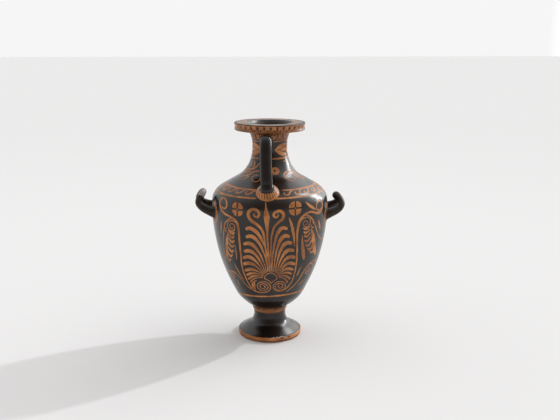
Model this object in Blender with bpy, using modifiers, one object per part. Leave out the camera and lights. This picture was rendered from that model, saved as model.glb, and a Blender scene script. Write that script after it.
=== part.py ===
"""Hydria: a wheel-thrown clay water jar with one vertical and two horizontal handles.

The jar is one fired body, so everything is joined into a single closed solid.  It is modelled
in metres with +Z up, the origin at the centre of its foot and the horizontal handles on the X axis.
"""
import math

import bmesh
import bpy
from mathutils import Matrix, Vector

MM = 0.001
MERGE = 0.00001
NAME = "hydria"

# Turning
SEGMENTS = 52
CURVE_STEPS = 10
OUTSIDE_TOLERANCE = 0.32
INSIDE_TOLERANCE = 0.9
WALL = 5.2

# Foot: a flat resting ring round a hollow, under a rounded edge band
REST_INNER_R = 44.0
REST_OUTER_R = 52.0
FOOT_EDGE_R = 53.4
FOOT_EDGE_H = 8.0
FOOT_HOLLOW_TOP = 42.3

# Stem with the raised ring that the body stands on
STEM_R = 26.7
STEM_H = 35.5
RING_R = 29.3
RING_LOW = 44.9
RING_HIGH = 50.0

# Body, shoulder and neck
FLOOR_H = 60.5
FLOOR_ROUND = 14.0
BODY_R = 95.3
BODY_H = 221.0
NECK_R = 28.6
NECK_H = 321.0

# Lip: an overhanging rim with a slightly hollow face and a flat top
HEIGHT = 360.0
LIP_R = 57.6
LIP_FACE_R = 56.5
LIP_LOW = 348.6
MOUTH_R = 37.5
MOUTH_FUNNEL = 27.4

# Vertical handle: an oval strap from neck to shoulder with a flared collar at its foot
FRONT_AZIMUTH = -3.5
STRAP_OFFSET = -6.3
STRAP_WIDTH = 18.4
STRAP_THICKNESS = 11.5
STRAP_SWELL = 0.8
COLLAR_OFFSET = -3.4
COLLAR_R = 18.3
COLLAR_H = 9.4
COLLAR_TILT = 32.0
COLLAR_CENTRE = (76.0, 259.2)

# Horizontal handles: upswept round loops with flared roots, the left one set a little higher
LOOP_SPREAD = 14.5
LOOP_REACH = 117.0
LOOP_ROD_R = 5.7
LOOP_ROOT_ROD_R = 8.0
LOOP_FLARE = 3.4
LOOP_TAPER = 24.0
FLARE_REACH = 2.5
ROOT_DEPTH = 2.3
# Root height, rise, and two bends: how far short of LOOP_REACH, half spread and share of the rise
RIGHT_LOOP = (212.5, 25.0, (0.0, 16.0, 0.62), (2.6, 9.0, 0.87))
LEFT_LOOP = (217.5, 28.0, (0.4, 16.6, 0.56), (4.0, 9.6, 0.865))

# Losses on the edges: azimuth from the front, radius, height and half lengths of each break
FOOT_CHIPS = (
    (12.0, FOOT_EDGE_R, 4.6, (3.2, 1.1, 2.0)),
    (18.5, FOOT_EDGE_R, 3.0, (3.0, 1.6, 3.2)),
    (25.0, FOOT_EDGE_R, 1.8, (4.2, 1.9, 2.8)),
    (33.0, FOOT_EDGE_R, 0.6, (3.4, 1.5, 2.0)),
)
LIP_CHIPS = (
    (136.0, LIP_R, 359.6, (5.0, 2.0, 1.8)),
    (146.0, LIP_R, 359.8, (3.0, 1.4, 1.2)),
)

CLAY_BLACK = (0.012, 0.010, 0.010, 1.0)
SHARP_ANGLE = math.radians(40.0)


def curve_through(stations, steps=CURVE_STEPS):
    """Catmull-Rom curve through the stations, with the same count of steps in each span."""
    points = [Vector(station) for station in stations]
    before = points[0] * 2.0 - points[1]
    after = points[-1] * 2.0 - points[-2]
    ring = [before] + points + [after]
    path = []
    for index in range(1, len(ring) - 2):
        p0, p1, p2, p3 = ring[index - 1:index + 3]
        for step in range(steps):
            t = step / steps
            path.append(0.5 * (
                2.0 * p1 + (p2 - p0) * t
                + (2.0 * p0 - 5.0 * p1 + 4.0 * p2 - p3) * t ** 2
                + (3.0 * p1 - p0 - 3.0 * p2 + p3) * t ** 3
            ))
    path.append(points[-1])
    return path


def thinned(points, tolerance=OUTSIDE_TOLERANCE):
    """Drop the points that lie closer than the tolerance to the line between their neighbours."""
    first, last = points[0], points[-1]
    chord = last - first
    farthest, index = 0.0, 0
    for number, point in enumerate(points[1:-1], start=1):
        along = (point - first).dot(chord) / chord.length_squared
        distance = (first + chord * along - point).length
        if distance > farthest:
            farthest, index = distance, number
    if farthest < tolerance:
        return [first, last]
    return thinned(points[:index + 1], tolerance)[:-1] + thinned(points[index:], tolerance)


def foot_outline():
    """Outside of the foot and stem, from the resting ring up to the raised ring."""
    edge = [
        (REST_OUTER_R, 0.0),
        (FOOT_EDGE_R - 0.9, 0.9),
        (FOOT_EDGE_R, FOOT_EDGE_H - 0.6),
        (FOOT_EDGE_R - 0.9, FOOT_EDGE_H + 0.6),
    ]
    slope = [
        edge[-1],
        (50.0, 9.6),
        (41.2, 15.4),
        (31.4, 21.6),
        (27.9, 28.6),
        (STEM_R, STEM_H),
        (27.6, RING_LOW - 0.8),
    ]
    return [Vector(point) for point in edge[:-1]] + thinned(curve_through(slope))


def ring_outline():
    """The raised ring between stem and body, with a fine groove above it."""
    middle = (RING_LOW + RING_HIGH) / 2.0
    return [
        Vector((RING_R - 0.5, RING_LOW)),
        Vector((RING_R, middle)),
        Vector((RING_R - 0.5, RING_HIGH)),
        Vector((RING_R - 1.0, RING_HIGH + 0.6)),
    ]


def body_outline():
    """Outside of the body, shoulder and neck, from the ring up to the underside of the lip."""
    return curve_through([
        (30.4, RING_HIGH + 1.2),
        (42.4, 60.0),
        (53.8, 72.0),
        (62.6, 88.0),
        (71.9, 108.0),
        (80.3, 130.0),
        (86.8, 153.0),
        (91.4, 176.0),
        (94.3, 198.0),
        (BODY_R, BODY_H),
        (94.7, 237.0),
        (90.8, 246.4),
        (84.2, 253.8),
        (72.8, 261.0),
        (60.4, 268.2),
        (47.6, 276.0),
        (39.2, 285.0),
        (32.8, 296.5),
        (NECK_R + 0.3, 311.0),
        (NECK_R, NECK_H),
        (NECK_R + 0.4, 332.0),
        (32.2, 342.6),
    ])


def lip_outline():
    """Underside, hollow face and flat top of the lip, from the neck to the mouth."""
    return [
        Vector((42.0, 346.2)),
        Vector((LIP_R - 1.0, LIP_LOW - 0.6)),
        Vector((LIP_R - 0.1, LIP_LOW + 0.6)),
        Vector((LIP_FACE_R, 352.6)),
        Vector((LIP_FACE_R + 0.1, 355.6)),
        Vector((LIP_R, 357.4)),
        Vector((LIP_R, HEIGHT - 0.7)),
        Vector((LIP_R - 0.8, HEIGHT)),
        Vector((MOUTH_R + 1.2, HEIGHT)),
        Vector((MOUTH_R, HEIGHT - 0.9)),
    ]


def inner_outline(outside):
    """Inside of the jar from the mouth down to its floor, one wall in from the outside."""
    wall_side = []
    for before, point, after in zip(outside, outside[1:], outside[2:]):
        along = (after - before).normalized()
        inward = Vector((-along.y, along.x))
        inner = point + inward * WALL
        if FLOOR_H + FLOOR_ROUND < inner.y < HEIGHT - MOUTH_FUNNEL:
            wall_side.append(inner)
    mouth = [(MOUTH_R, HEIGHT - 0.9), (31.4, 352.0), (25.4, 343.0)]
    floor = [(39.0, FLOOR_H + 6.2), (21.0, FLOOR_H + 1.2), (0.0, FLOOR_H)]
    down = curve_through(mouth + [tuple(wall_side[-1])], 4)[1:-1]
    up = curve_through([tuple(wall_side[0])] + floor, 4)[1:]
    return thinned(down + wall_side[::-1] + up, INSIDE_TOLERANCE)


def hollow_outline():
    """Underside of the foot, from the resting ring up to the top of the hollow."""
    return thinned(curve_through([
        (REST_INNER_R, 0.0),
        (42.2, 2.8),
        (35.6, 8.2),
        (27.6, 14.2),
        (21.4, 21.6),
        (18.2, 30.0),
        (11.6, 38.8),
        (0.0, FOOT_HOLLOW_TOP),
    ], 4), INSIDE_TOLERANCE)


def jar_profile():
    """Closed half section of the jar, from the floor inside to the hollow under the foot."""
    body = body_outline()
    outside = foot_outline() + ring_outline() + thinned(body) + lip_outline()
    inside = inner_outline(body)[::-1]
    return inside + outside[::-1] + hollow_outline()


def link(obj, collection):
    collection.objects.link(obj)
    return obj


def turned(name, profile, collection, segments):
    """A solid turned round Z from a half section that starts and ends on the axis."""
    mesh = bpy.data.meshes.new(name)
    points = [(point.x * MM, 0.0, point.y * MM) for point in profile]
    edges = [(index, index + 1) for index in range(len(points) - 1)]
    mesh.from_pydata(points, edges, [])
    obj = link(bpy.data.objects.new(name, mesh), collection)
    screw = obj.modifiers.new("turning", "SCREW")
    screw.axis = "Z"
    screw.steps = segments
    screw.render_steps = segments
    screw.use_merge_vertices = True
    screw.merge_threshold = MERGE
    screw.use_normal_calculate = True
    screw.use_smooth_shade = True
    return obj


def rod(name, path, radii, collection, sides):
    """A capped round rod along a path of points in millimetres, with a radius at each point."""
    curve = bpy.data.curves.new(name, "CURVE")
    curve.dimensions = "3D"
    curve.bevel_depth = MM
    curve.bevel_resolution = sides
    curve.use_fill_caps = True
    spline = curve.splines.new("POLY")
    spline.points.add(len(path) - 1)
    for point, place, radius in zip(spline.points, path, radii):
        point.co = (place.x * MM, place.y * MM, place.z * MM, 1.0)
        point.radius = radius
    return link(bpy.data.objects.new(name, curve), collection)


def as_mesh(obj, collection):
    """The evaluated object as a plain mesh object with welded caps, in world space."""
    bpy.context.view_layer.update()
    evaluated = obj.evaluated_get(bpy.context.evaluated_depsgraph_get())
    mesh = bpy.data.meshes.new_from_object(evaluated)
    mesh.transform(obj.matrix_world)
    shape = bmesh.new()
    shape.from_mesh(mesh)
    bmesh.ops.remove_doubles(shape, verts=shape.verts, dist=MERGE)
    bmesh.ops.recalc_face_normals(shape, faces=shape.faces)
    shape.to_mesh(mesh)
    shape.free()
    mesh.shade_smooth()
    mesh.set_sharp_from_angle(angle=SHARP_ANGLE)
    name = obj.name
    bpy.data.objects.remove(obj)
    return link(bpy.data.objects.new(name + "_solid", mesh), collection)


def strap_handle(collection):
    """The vertical handle: a rod in its own XZ plane, widened to an oval strap."""
    route = curve_through([
        (25.7, 0.5, 331.0),
        (36.0, -0.2, 334.6),
        (50.0, 0.0, 338.8),
        (62.0, 0.0, 339.2),
        (70.0, 0.0, 326.6),
        (74.0, 0.0, 303.0),
        (78.0, 0.0, 279.0),
        (78.9, 0.0, 264.5),
        (77.2, 0.0, 256.6),
    ], 3)
    radii = [STRAP_THICKNESS / 2.0 + STRAP_SWELL * (index / len(route)) ** 3 for index in range(len(route))]
    strap = rod("strap", route, radii, collection, 3)
    strap.scale.y = STRAP_WIDTH / STRAP_THICKNESS
    return strap


def strap_collar(collection):
    """The flared collar where the strap meets the shoulder, turned round its own upright axis."""
    profile = [
        Vector((0.0, COLLAR_H)),
        Vector((COLLAR_R * 0.55, COLLAR_H)),
        Vector((COLLAR_R * 0.78, COLLAR_H * 0.62)),
        Vector((COLLAR_R * 0.93, COLLAR_H * 0.26)),
        Vector((COLLAR_R, -0.6)),
        Vector((COLLAR_R - 0.4, -3.0)),
        Vector((COLLAR_R * 0.6, -3.2)),
        Vector((0.0, -2.4)),
    ]
    collar = turned("collar", profile, collection, 24)
    collar.location = (COLLAR_CENTRE[0] * MM, 0.0, COLLAR_CENTRE[1] * MM)
    collar.rotation_euler = (0.0, math.radians(COLLAR_TILT), 0.0)
    return collar


def place_at_front(obj, offset):
    """Turn a piece made along +X round to the front, moved sideways by its offset."""
    turn = Matrix.Rotation(math.radians(FRONT_AZIMUTH - 90.0), 4, "Z")
    shift = Matrix.Translation((0.0, offset * MM, 0.0))
    bpy.context.view_layer.update()
    obj.matrix_world = turn @ shift @ obj.matrix_world
    return obj


def loop_radius(point):
    """Radius of a loop's rod: it swells towards the body and flares where it meets the wall."""
    clear = max(0.0, point.xy.length - BODY_R)
    swell = max(0.0, 1.0 - clear / LOOP_TAPER)
    return LOOP_ROD_R + (LOOP_ROOT_ROD_R - LOOP_ROD_R) * swell + LOOP_FLARE * math.exp(-clear / FLARE_REACH)


def loop_handle(name, collection, side, root_height, rise, *bends):
    """A horizontal handle on the +X side, or on the -X side where side is -1."""
    spread = math.radians(LOOP_SPREAD)
    out = Vector((math.cos(spread), math.sin(spread), 0.0))
    half = [
        out * (BODY_R - ROOT_DEPTH) + Vector((0.0, 0.0, root_height)),
        out * (BODY_R + 1.0) + Vector((0.0, 0.0, root_height + rise * 0.01)),
        out * (BODY_R + 5.0) + Vector((0.0, 0.0, root_height + rise * 0.05)),
        Vector((LOOP_REACH - 11.0, 23.5, root_height + rise * 0.17)),
        Vector((LOOP_REACH - 3.2, 20.5, root_height + rise * 0.36)),
    ]
    for short, half_spread, part in bends:
        half.append(Vector((LOOP_REACH - short, half_spread, root_height + rise * part)))
    apex = Vector((LOOP_REACH - 6.5, 0.0, root_height + rise))
    mirrored = [Vector((point.x, -point.y, point.z)) for point in reversed(half)]
    route = curve_through(half + [apex] + mirrored, 2)
    radii = [loop_radius(point) for point in route]
    loop = rod(name, route, radii, collection, 3)
    loop.scale = (side, 1.0, 1.0)
    return loop


def chip(name, collection, azimuth, radius, height, half_lengths):
    """A small rounded break, long along the edge that it is taken from."""
    mesh = bpy.data.meshes.new(name)
    shape = bmesh.new()
    bmesh.ops.create_icosphere(shape, subdivisions=1, radius=MM)
    shape.to_mesh(mesh)
    shape.free()
    obj = link(bpy.data.objects.new(name, mesh), collection)
    turn = math.radians(azimuth)
    obj.location = (radius * math.sin(turn) * MM, -radius * math.cos(turn) * MM, height * MM)
    obj.rotation_euler = (0.0, 0.0, turn)
    obj.scale = half_lengths
    return obj


def combine(target, piece, operation):
    """Join a piece to the jar or cut it away, with the piece kept as a hidden guide."""
    piece.display_type = "WIRE"
    piece.hide_render = True
    boolean = target.modifiers.new(piece.name, "BOOLEAN")
    boolean.operation = operation
    boolean.solver = "EXACT"
    boolean.object = piece


def fired_clay():
    """Black gloss over fired clay."""
    material = bpy.data.materials.new("black_gloss")
    material.use_nodes = True
    shader = material.node_tree.nodes["Principled BSDF"]
    shader.inputs["Base Color"].default_value = CLAY_BLACK
    shader.inputs["Roughness"].default_value = 0.3
    shader.inputs["Metallic"].default_value = 0.0
    return material


def clear_scene():
    for obj in list(bpy.data.objects):
        bpy.data.objects.remove(obj)


def new_collection(name):
    collection = bpy.data.collections.new(name)
    bpy.context.scene.collection.children.link(collection)
    return collection


def build():
    clear_scene()
    parts = new_collection(NAME)
    guides = new_collection("hydria_guides")
    jar = turned(NAME, jar_profile(), parts, SEGMENTS)
    jar.data.materials.append(fired_clay())
    pieces = [
        place_at_front(strap_collar(guides), COLLAR_OFFSET),
        place_at_front(strap_handle(guides), STRAP_OFFSET),
        loop_handle("right_loop", guides, 1.0, *RIGHT_LOOP),
        loop_handle("left_loop", guides, -1.0, *LEFT_LOOP),
    ]
    for piece in pieces:
        combine(jar, as_mesh(piece, guides), "UNION")
    for number, loss in enumerate(FOOT_CHIPS + LIP_CHIPS, start=1):
        combine(jar, chip(f"chip_{number}", guides, *loss), "DIFFERENCE")


build()
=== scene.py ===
"""Looks of the hydria: finely turned walls, handles grown out of them, and painted ornament.

The jar is one mesh.  Its outer wall is unrolled into a flat conformal chart, azimuth against the
integral of arc over radius.  Every painted shape is drawn in millimetres on the wall, the chart is
triangulated with the shapes' outlines as edges, and each triangle takes the paint drawn on it last.
"""
import math
import random

import bmesh
import bpy
import numpy as np
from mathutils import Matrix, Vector
from mathutils.geometry import delaunay_2d_cdt
from mathutils.kdtree import KDTree


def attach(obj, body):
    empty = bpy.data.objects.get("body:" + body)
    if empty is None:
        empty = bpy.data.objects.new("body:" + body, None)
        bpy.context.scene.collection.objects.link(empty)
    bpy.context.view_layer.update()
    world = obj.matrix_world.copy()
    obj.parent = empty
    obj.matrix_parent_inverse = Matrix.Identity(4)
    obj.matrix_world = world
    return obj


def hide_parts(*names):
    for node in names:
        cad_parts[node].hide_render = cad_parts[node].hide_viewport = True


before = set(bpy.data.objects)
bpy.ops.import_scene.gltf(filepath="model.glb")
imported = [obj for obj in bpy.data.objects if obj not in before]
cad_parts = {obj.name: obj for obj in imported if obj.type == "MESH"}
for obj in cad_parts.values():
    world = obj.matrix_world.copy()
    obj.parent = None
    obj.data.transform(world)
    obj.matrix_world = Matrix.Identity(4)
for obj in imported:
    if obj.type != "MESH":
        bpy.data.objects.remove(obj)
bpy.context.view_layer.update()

MM = 0.001
# Every random draw is one of this painter's hand, the same on each run
hand = random.Random(11)

# Sizes of the jar in millimetres, as in the CAD solid
WALL = 5.2
HEIGHT = 360.0
REST_OUTER_R = 52.0
REST_INNER_R = 44.0
FOOT_EDGE_R = 53.4
FOOT_EDGE_H = 8.0
STEM_R = 26.7
STEM_H = 35.5
RING_R = 29.3
RING_LOW = 44.9
RING_HIGH = 50.0
FLOOR_H = 60.5
BODY_R = 95.3
BODY_H = 221.0
NECK_R = 28.6
NECK_H = 321.0
LIP_R = 57.6
LIP_FACE_R = 56.5
LIP_LOW = 348.6
MOUTH_R = 37.5

# Corners of the outline that turn more than this many degrees are cut with an arc: how far it
# reaches from the corner, at most what share of a side, and its count of points
CORNER_TURN = 10.0
CORNER_REACH = 0.7
CORNER_SHARE = 0.45
CORNER_POINTS = 7

# Arc lengths: where heights are looked up on the outside, and how far the painted strip runs
# past the foot's edge and past the mouth
OUTER_FACE = (64.5, 407.0)
STRIP_UNDER = 3.0
STRIP_INSIDE = 4.0

# The potter's slight unevenness: its depth, its largest wave and the arc lengths it covers
UNEVEN_DEPTH = 0.05
UNEVEN_TOP = 2.7
UNEVEN_FACE = (12.0, 430.0)

# Azimuths in degrees from the front (-Y) toward +X
FRONT_AZIMUTH = -3.5
PANEL_AZIMUTH = -4.0
BACK_AZIMUTH = PANEL_AZIMUTH + 180.0
SEAM_AZIMUTH = -90.0

# Mesh fineness: steps in millimetres, how far free points stay from painted outlines, and counts
WALL_STEP = 2.6
UNDER_STEP = 3.0
INNER_STEP = 7.0
CLEARANCE = 1.0
RING_COLUMNS = 160
LEAST_COLUMNS = 72
LOOP_SIDES = 40
STRAP_SIDES = 96
PAINT_STEP = 1.25
DROP_STEPS = 160
HALVINGS = 30

# The pale worn paint serves for worn spots and for painted highlights
GLOSS, CLAY, BROWN, WORN_AND_HIGHLIGHT, DUSTY, MATT, OPENING = range(7)


# ---------------------------------------------------------------- curves

def curve_through(stations, steps):
    """Catmull-Rom curve through the stations, with the same count of steps in each span."""
    points = [np.array(station, float) for station in stations]
    ring = [2.0 * points[0] - points[1]] + points + [2.0 * points[-1] - points[-2]]
    path = []
    for index in range(1, len(ring) - 2):
        p0, p1, p2, p3 = ring[index - 1:index + 3]
        for step in range(steps):
            t = step / steps
            path.append(0.5 * (
                2.0 * p1 + (p2 - p0) * t
                + (2.0 * p0 - 5.0 * p1 + 4.0 * p2 - p3) * t ** 2
                + (3.0 * p1 - p0 - 3.0 * p2 + p3) * t ** 3
            ))
    path.append(points[-1])
    return np.array(path)


def resampled(path, step, minimum=2):
    """The path with points at even spacing, measured in its first two columns."""
    gaps = np.hypot(*np.diff(path[:, :2], axis=0).T)
    along = np.concatenate([[0.0], np.cumsum(gaps)])
    count = max(minimum, int(round(along[-1] / step)) + 1)
    even = np.linspace(0.0, along[-1], count)
    return np.column_stack([np.interp(even, along, column) for column in path.T])


def bezier(p0, p1, p2, p3, count=24):
    t = np.linspace(0.0, 1.0, count)[:, None]
    p0, p1, p2, p3 = (np.array(p, float) for p in (p0, p1, p2, p3))
    return (1 - t) ** 3 * p0 + 3 * t * (1 - t) ** 2 * p1 + 3 * t ** 2 * (1 - t) * p2 + t ** 3 * p3


# ---------------------------------------------------------------- the turned wall

def outside_stations():
    """Design outline of the outside, from the resting ring up to the mouth."""
    edge = [
        (REST_OUTER_R, 0.0),
        (FOOT_EDGE_R - 0.9, 0.9),
        (FOOT_EDGE_R, FOOT_EDGE_H - 0.6),
    ]
    slope = [
        (FOOT_EDGE_R - 0.9, FOOT_EDGE_H + 0.6),
        (50.0, 9.6), (41.2, 15.4), (31.4, 21.6), (27.9, 28.6), (STEM_R, STEM_H),
        (27.6, RING_LOW - 0.8),
    ]
    ring = [
        (RING_R - 0.5, RING_LOW), (RING_R, (RING_LOW + RING_HIGH) / 2.0),
        (RING_R - 0.5, RING_HIGH), (RING_R - 1.0, RING_HIGH + 0.6),
    ]
    lip = [
        (42.0, 346.2), (LIP_R - 1.0, LIP_LOW - 0.6), (LIP_R - 0.1, LIP_LOW + 0.6), (LIP_FACE_R, 352.6),
        (LIP_FACE_R + 0.1, 355.6), (LIP_R, 357.4), (LIP_R, HEIGHT - 0.7), (LIP_R - 0.8, HEIGHT),
        (MOUTH_R + 1.2, HEIGHT),
    ]
    return np.concatenate([edge, curve_through(slope, 12), ring, body_stations(), lip])


def body_stations():
    """Design outline of the body and neck, from the stem's ring up to the lip."""
    return curve_through([
        (30.4, RING_HIGH + 1.2), (42.4, 60.0), (53.8, 72.0), (62.6, 88.0), (71.9, 108.0),
        (80.3, 130.0), (86.8, 153.0), (91.4, 176.0), (94.3, 198.0), (BODY_R, BODY_H),
        (94.7, 237.0), (90.8, 246.4), (84.2, 253.8), (72.8, 261.0), (60.4, 268.2),
        (47.6, 276.0), (39.2, 285.0), (32.8, 296.5), (NECK_R + 0.3, 311.0),
        (NECK_R, NECK_H), (NECK_R + 0.4, 332.0), (32.2, 342.6),
    ], 12)


def inside_stations():
    """Inner wall from the mouth down to the floor of the jar."""
    outside = body_stations()
    along = outside[2:] - outside[:-2]
    along /= np.hypot(*along.T)[:, None]
    inner = outside[1:-1] + np.column_stack([-along[:, 1], along[:, 0]]) * WALL
    inner = inner[(inner[:, 1] > FLOOR_H + 14.0) & (inner[:, 1] < HEIGHT - 27.4)][::-1]
    mouth = curve_through([(MOUTH_R, HEIGHT - 0.9), (31.4, 352.0), (25.4, 343.0), inner[0]], 8)[:-1]
    floor = curve_through([inner[-1], (39.0, FLOOR_H + 6.2), (21.0, FLOOR_H + 1.2), (0.0, FLOOR_H)], 8)[1:]
    return np.concatenate([mouth, inner, floor])


def hollow_stations():
    """Underside of the foot, from the axis out to the resting ring."""
    return curve_through([
        (0.0, 42.3), (11.6, 38.8), (18.2, 30.0), (21.4, 21.6), (27.6, 14.2), (35.6, 8.2),
        (42.2, 2.8), (REST_INNER_R, 0.0),
    ], 8)


def rounded(points, arcs):
    """Cut each corner of the outline with a small arc, carrying the design arc length along."""
    rows = np.column_stack([points, arcs])
    out = [rows[0]]
    for before, corner, after in zip(rows, rows[1:], rows[2:]):
        back, ahead = before - corner, after - corner
        lengths = np.hypot(*back[:2]), np.hypot(*ahead[:2])
        cosine = -np.dot(back[:2], ahead[:2]) / (lengths[0] * lengths[1])
        if cosine > math.cos(math.radians(CORNER_TURN)):
            out.append(corner)
            continue
        start = corner + back * min(CORNER_REACH / lengths[0], CORNER_SHARE)
        end = corner + ahead * min(CORNER_REACH / lengths[1], CORNER_SHARE)
        for t in np.linspace(0.0, 1.0, CORNER_POINTS):
            out.append((1 - t) ** 2 * start + 2 * t * (1 - t) * corner + t ** 2 * end)
    out.append(rows[-1])
    return np.array(out)


class Wall:
    """The turned profile, tabulated against design arc length with 0 at the foot's outer edge."""

    def __init__(self):
        hollow, outside, inside = hollow_stations(), outside_stations(), inside_stations()
        points = np.concatenate([hollow, outside, inside])
        arcs = np.concatenate([[0.0], np.cumsum(np.hypot(*np.diff(points, axis=0).T))])
        arcs -= arcs[len(hollow)]
        self.start = arcs[0]
        self.mouth = arcs[len(hollow) + len(outside)]
        self.end = arcs[-1]
        rows = rounded(points, arcs)
        self.arc, self.r, self.z = rows[:, 2], rows[:, 0], rows[:, 1]
        self.outside = (self.arc > OUTER_FACE[0]) & (self.arc < OUTER_FACE[1])
        fine = np.arange(self.low, self.high + 0.05, 0.1)
        radius, height = self.at(fine)
        spans = np.hypot(np.diff(radius), np.diff(height))
        self.fine = fine
        self.chart = np.concatenate([[0.0], np.cumsum(spans / (0.5 * (radius[1:] + radius[:-1])))])

    @property
    def low(self):
        """Where the painted strip starts, on the flat resting ring."""
        return -STRIP_UNDER

    @property
    def high(self):
        """Where the painted strip ends, just inside the mouth."""
        return self.mouth + STRIP_INSIDE

    def at(self, arc):
        return np.interp(arc, self.arc, self.r), np.interp(arc, self.arc, self.z)

    def to_chart(self, arc):
        return np.interp(arc, self.fine, self.chart)

    def to_arc(self, chart):
        return np.interp(chart, self.chart, self.fine)

    def arc_at(self, height):
        """Design arc length where the body or neck passes a height."""
        return np.interp(height, self.z[self.outside], self.arc[self.outside])


wall = Wall()

# Losses on the edges: azimuth, arc, half width, half height, depth
LOSSES = (
    (12.0, 4.8, 3.2, 2.0, 0.8), (18.5, 3.2, 3.2, 3.2, 1.4), (25.0, 1.9, 4.2, 2.8, 1.6),
    (33.0, 0.9, 3.4, 2.2, 1.3),
    (136.0, 444.6, 5.0, 2.0, 1.5), (146.0, 444.8, 3.0, 1.6, 1.1),
)


def on_wall(azimuth, arc):
    """Points on the wall in millimetres, with the potter's slight unevenness and the losses."""
    azimuth, arc = np.broadcast_arrays(np.asarray(azimuth, float), np.asarray(arc, float))
    radius, height = wall.at(arc)
    turn = np.radians(azimuth)
    uneven = (
        np.sin(2.0 * turn + 0.9 + arc * 0.011) + 0.7 * np.sin(3.0 * turn - 0.4 - arc * 0.017)
        + 0.6 * np.sin(arc * 0.19 + 1.2 * np.sin(turn)) + 0.4 * np.sin(arc * 0.43 + 2.0 * turn)
    )
    outside = (arc > UNEVEN_FACE[0]) & (arc < UNEVEN_FACE[1])
    radius = radius - outside * UNEVEN_DEPTH * (UNEVEN_TOP - uneven)
    for where, level, wide, tall, deep in LOSSES:
        across = (azimuth - where + 180.0) % 360.0 - 180.0
        u = np.radians(across) * radius / wide
        v = (arc - level) / tall
        rough = 1.0 + 0.25 * np.sin(u * 7.0 + level) + 0.2 * np.sin(v * 5.0 + where)
        dent = np.sqrt(np.clip(1.0 - u ** 2 - v ** 2, 0.0, 1.0)) * deep * rough
        radius = radius - dent
    return np.stack([radius * np.sin(turn), -radius * np.cos(turn), height], axis=-1)


def wall_normals(azimuth, arc):
    """Outward normals from small steps along and up the wall."""
    azimuth, arc = np.asarray(azimuth, float), np.asarray(arc, float)
    east = on_wall(azimuth + 0.15, arc) - on_wall(azimuth - 0.15, arc)
    north = on_wall(azimuth, arc + 0.12) - on_wall(azimuth, arc - 0.12)
    normals = np.cross(east, north)
    lengths = np.linalg.norm(normals, axis=-1, keepdims=True)
    return normals / np.where(lengths > 1e-9, lengths, 1.0)


# ---------------------------------------------------------------- painting

class Painting:
    """Shapes on the wall, each a closed outline of (azimuth, arc) with a paint, later ones on top."""

    def __init__(self):
        self.shapes = []

    def add(self, outline, paint, azimuth):
        """Add an outline given in millimetres across from an azimuth and in arc length."""
        outline = np.asarray(outline, float)
        radius, _ = wall.at(outline[:, 1])
        turned = azimuth + np.degrees(outline[:, 0] / radius)
        self.shapes.append((np.column_stack([turned, outline[:, 1]]), paint))

    def add_turned(self, outline, paint):
        self.shapes.append((np.asarray(outline, float), paint))


painting = Painting()


def unsteady(points, amount=0.14):
    """A painter's slightly unsteady hand, as slow waves along the outline."""
    phase = [hand.uniform(0.0, 6.28) for _ in range(4)]
    x, y = points[:, 0], points[:, 1]
    dx = np.sin(0.33 * y + phase[0]) + 0.6 * np.sin(0.9 * y + 0.4 * x + phase[1])
    dy = np.sin(0.31 * x + phase[2]) + 0.6 * np.sin(0.8 * x - 0.3 * y + phase[3])
    moved = points.copy()
    moved[:, 0] += amount * dx
    moved[:, 1] += amount * dy
    return moved


# Strokes narrower than this at an end, in radius, end in a point
POINTED_R = 0.35


def cap(centre, direction, radius):
    """Half circle round the end of a stroke, from its left side to its right side."""
    if radius < POINTED_R:
        return np.array([centre + direction * radius])
    side = np.array([-direction[1], direction[0]])
    count = max(3, int(radius * math.pi / PAINT_STEP))
    angles = np.linspace(0.0, math.pi, count + 2)[1:-1]
    return np.array([centre + radius * (side * math.cos(a) + direction * math.sin(a)) for a in angles])


def stroke(path):
    """Outline of a brush stroke along a path of (x, arc, width) rows, with round ends."""
    path = resampled(np.asarray(path, float), PAINT_STEP, 4)
    centre, half = path[:, :2], path[:, 2] / 2.0
    along = np.gradient(centre, axis=0)
    along /= np.hypot(*along.T)[:, None]
    side = np.column_stack([-along[:, 1], along[:, 0]])
    left = centre + side * half[:, None]
    right = centre - side * half[:, None]
    end = cap(centre[-1], along[-1], half[-1])
    start = cap(centre[0], -along[0], half[0])
    return np.concatenate([left, end, right[::-1], start])


def paint_path(path, azimuth, paint=CLAY):
    painting.add(unsteady(stroke(path)), paint, azimuth)


def paint_stroke(controls, azimuth, paint=CLAY, mirror=1.0, steps=8, lift=0.0):
    """Paint a stroke through a few (x, arc, width) controls, mirrored in x where mirror is -1."""
    path = curve_through(controls, steps)
    path[:, 0] *= mirror
    path[:, 1] += lift
    paint_path(path, azimuth, paint)


def paint_strokes(rows, azimuth, paint=CLAY, mirror=1.0):
    for row in rows:
        paint_stroke(row, azimuth, paint, mirror)


def spiral(centre, radii, start, turns, widths):
    """Rows of (x, arc, width) round a centre; start and turns in degrees and whole turns."""
    count = max(8, int(abs(turns) * 22))
    t = np.linspace(0.0, 1.0, count)
    angle = np.radians(start) + t * turns * 2.0 * math.pi
    radius = np.interp(t, np.linspace(0.0, 1.0, len(radii)), radii)
    width = np.interp(t, np.linspace(0.0, 1.0, len(widths)), widths)
    x, y = radius * np.cos(angle), radius * np.sin(angle)
    return np.column_stack([centre[0] + x, centre[1] + y, width])


def blob(centre, half_width, half_height, power):
    """A closed rounded outline; power above 2 makes it squarer."""
    count = max(10, int(2.0 * math.pi * max(half_width, half_height) / PAINT_STEP))
    angles = np.linspace(0.0, 2.0 * math.pi, count, endpoint=False)
    cosine, sine = np.cos(angles), np.sin(angles)
    x = np.sign(cosine) * np.abs(cosine) ** (2.0 / power) * half_width
    y = np.sign(sine) * np.abs(sine) ** (2.0 / power) * half_height
    return np.column_stack([centre[0] + x, centre[1] + y])


def paint_blob(centre, half_width, half_height, azimuth, paint=CLAY, power=2.0):
    painting.add(unsteady(blob(centre, half_width, half_height, power), 0.08), paint, azimuth)


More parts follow.
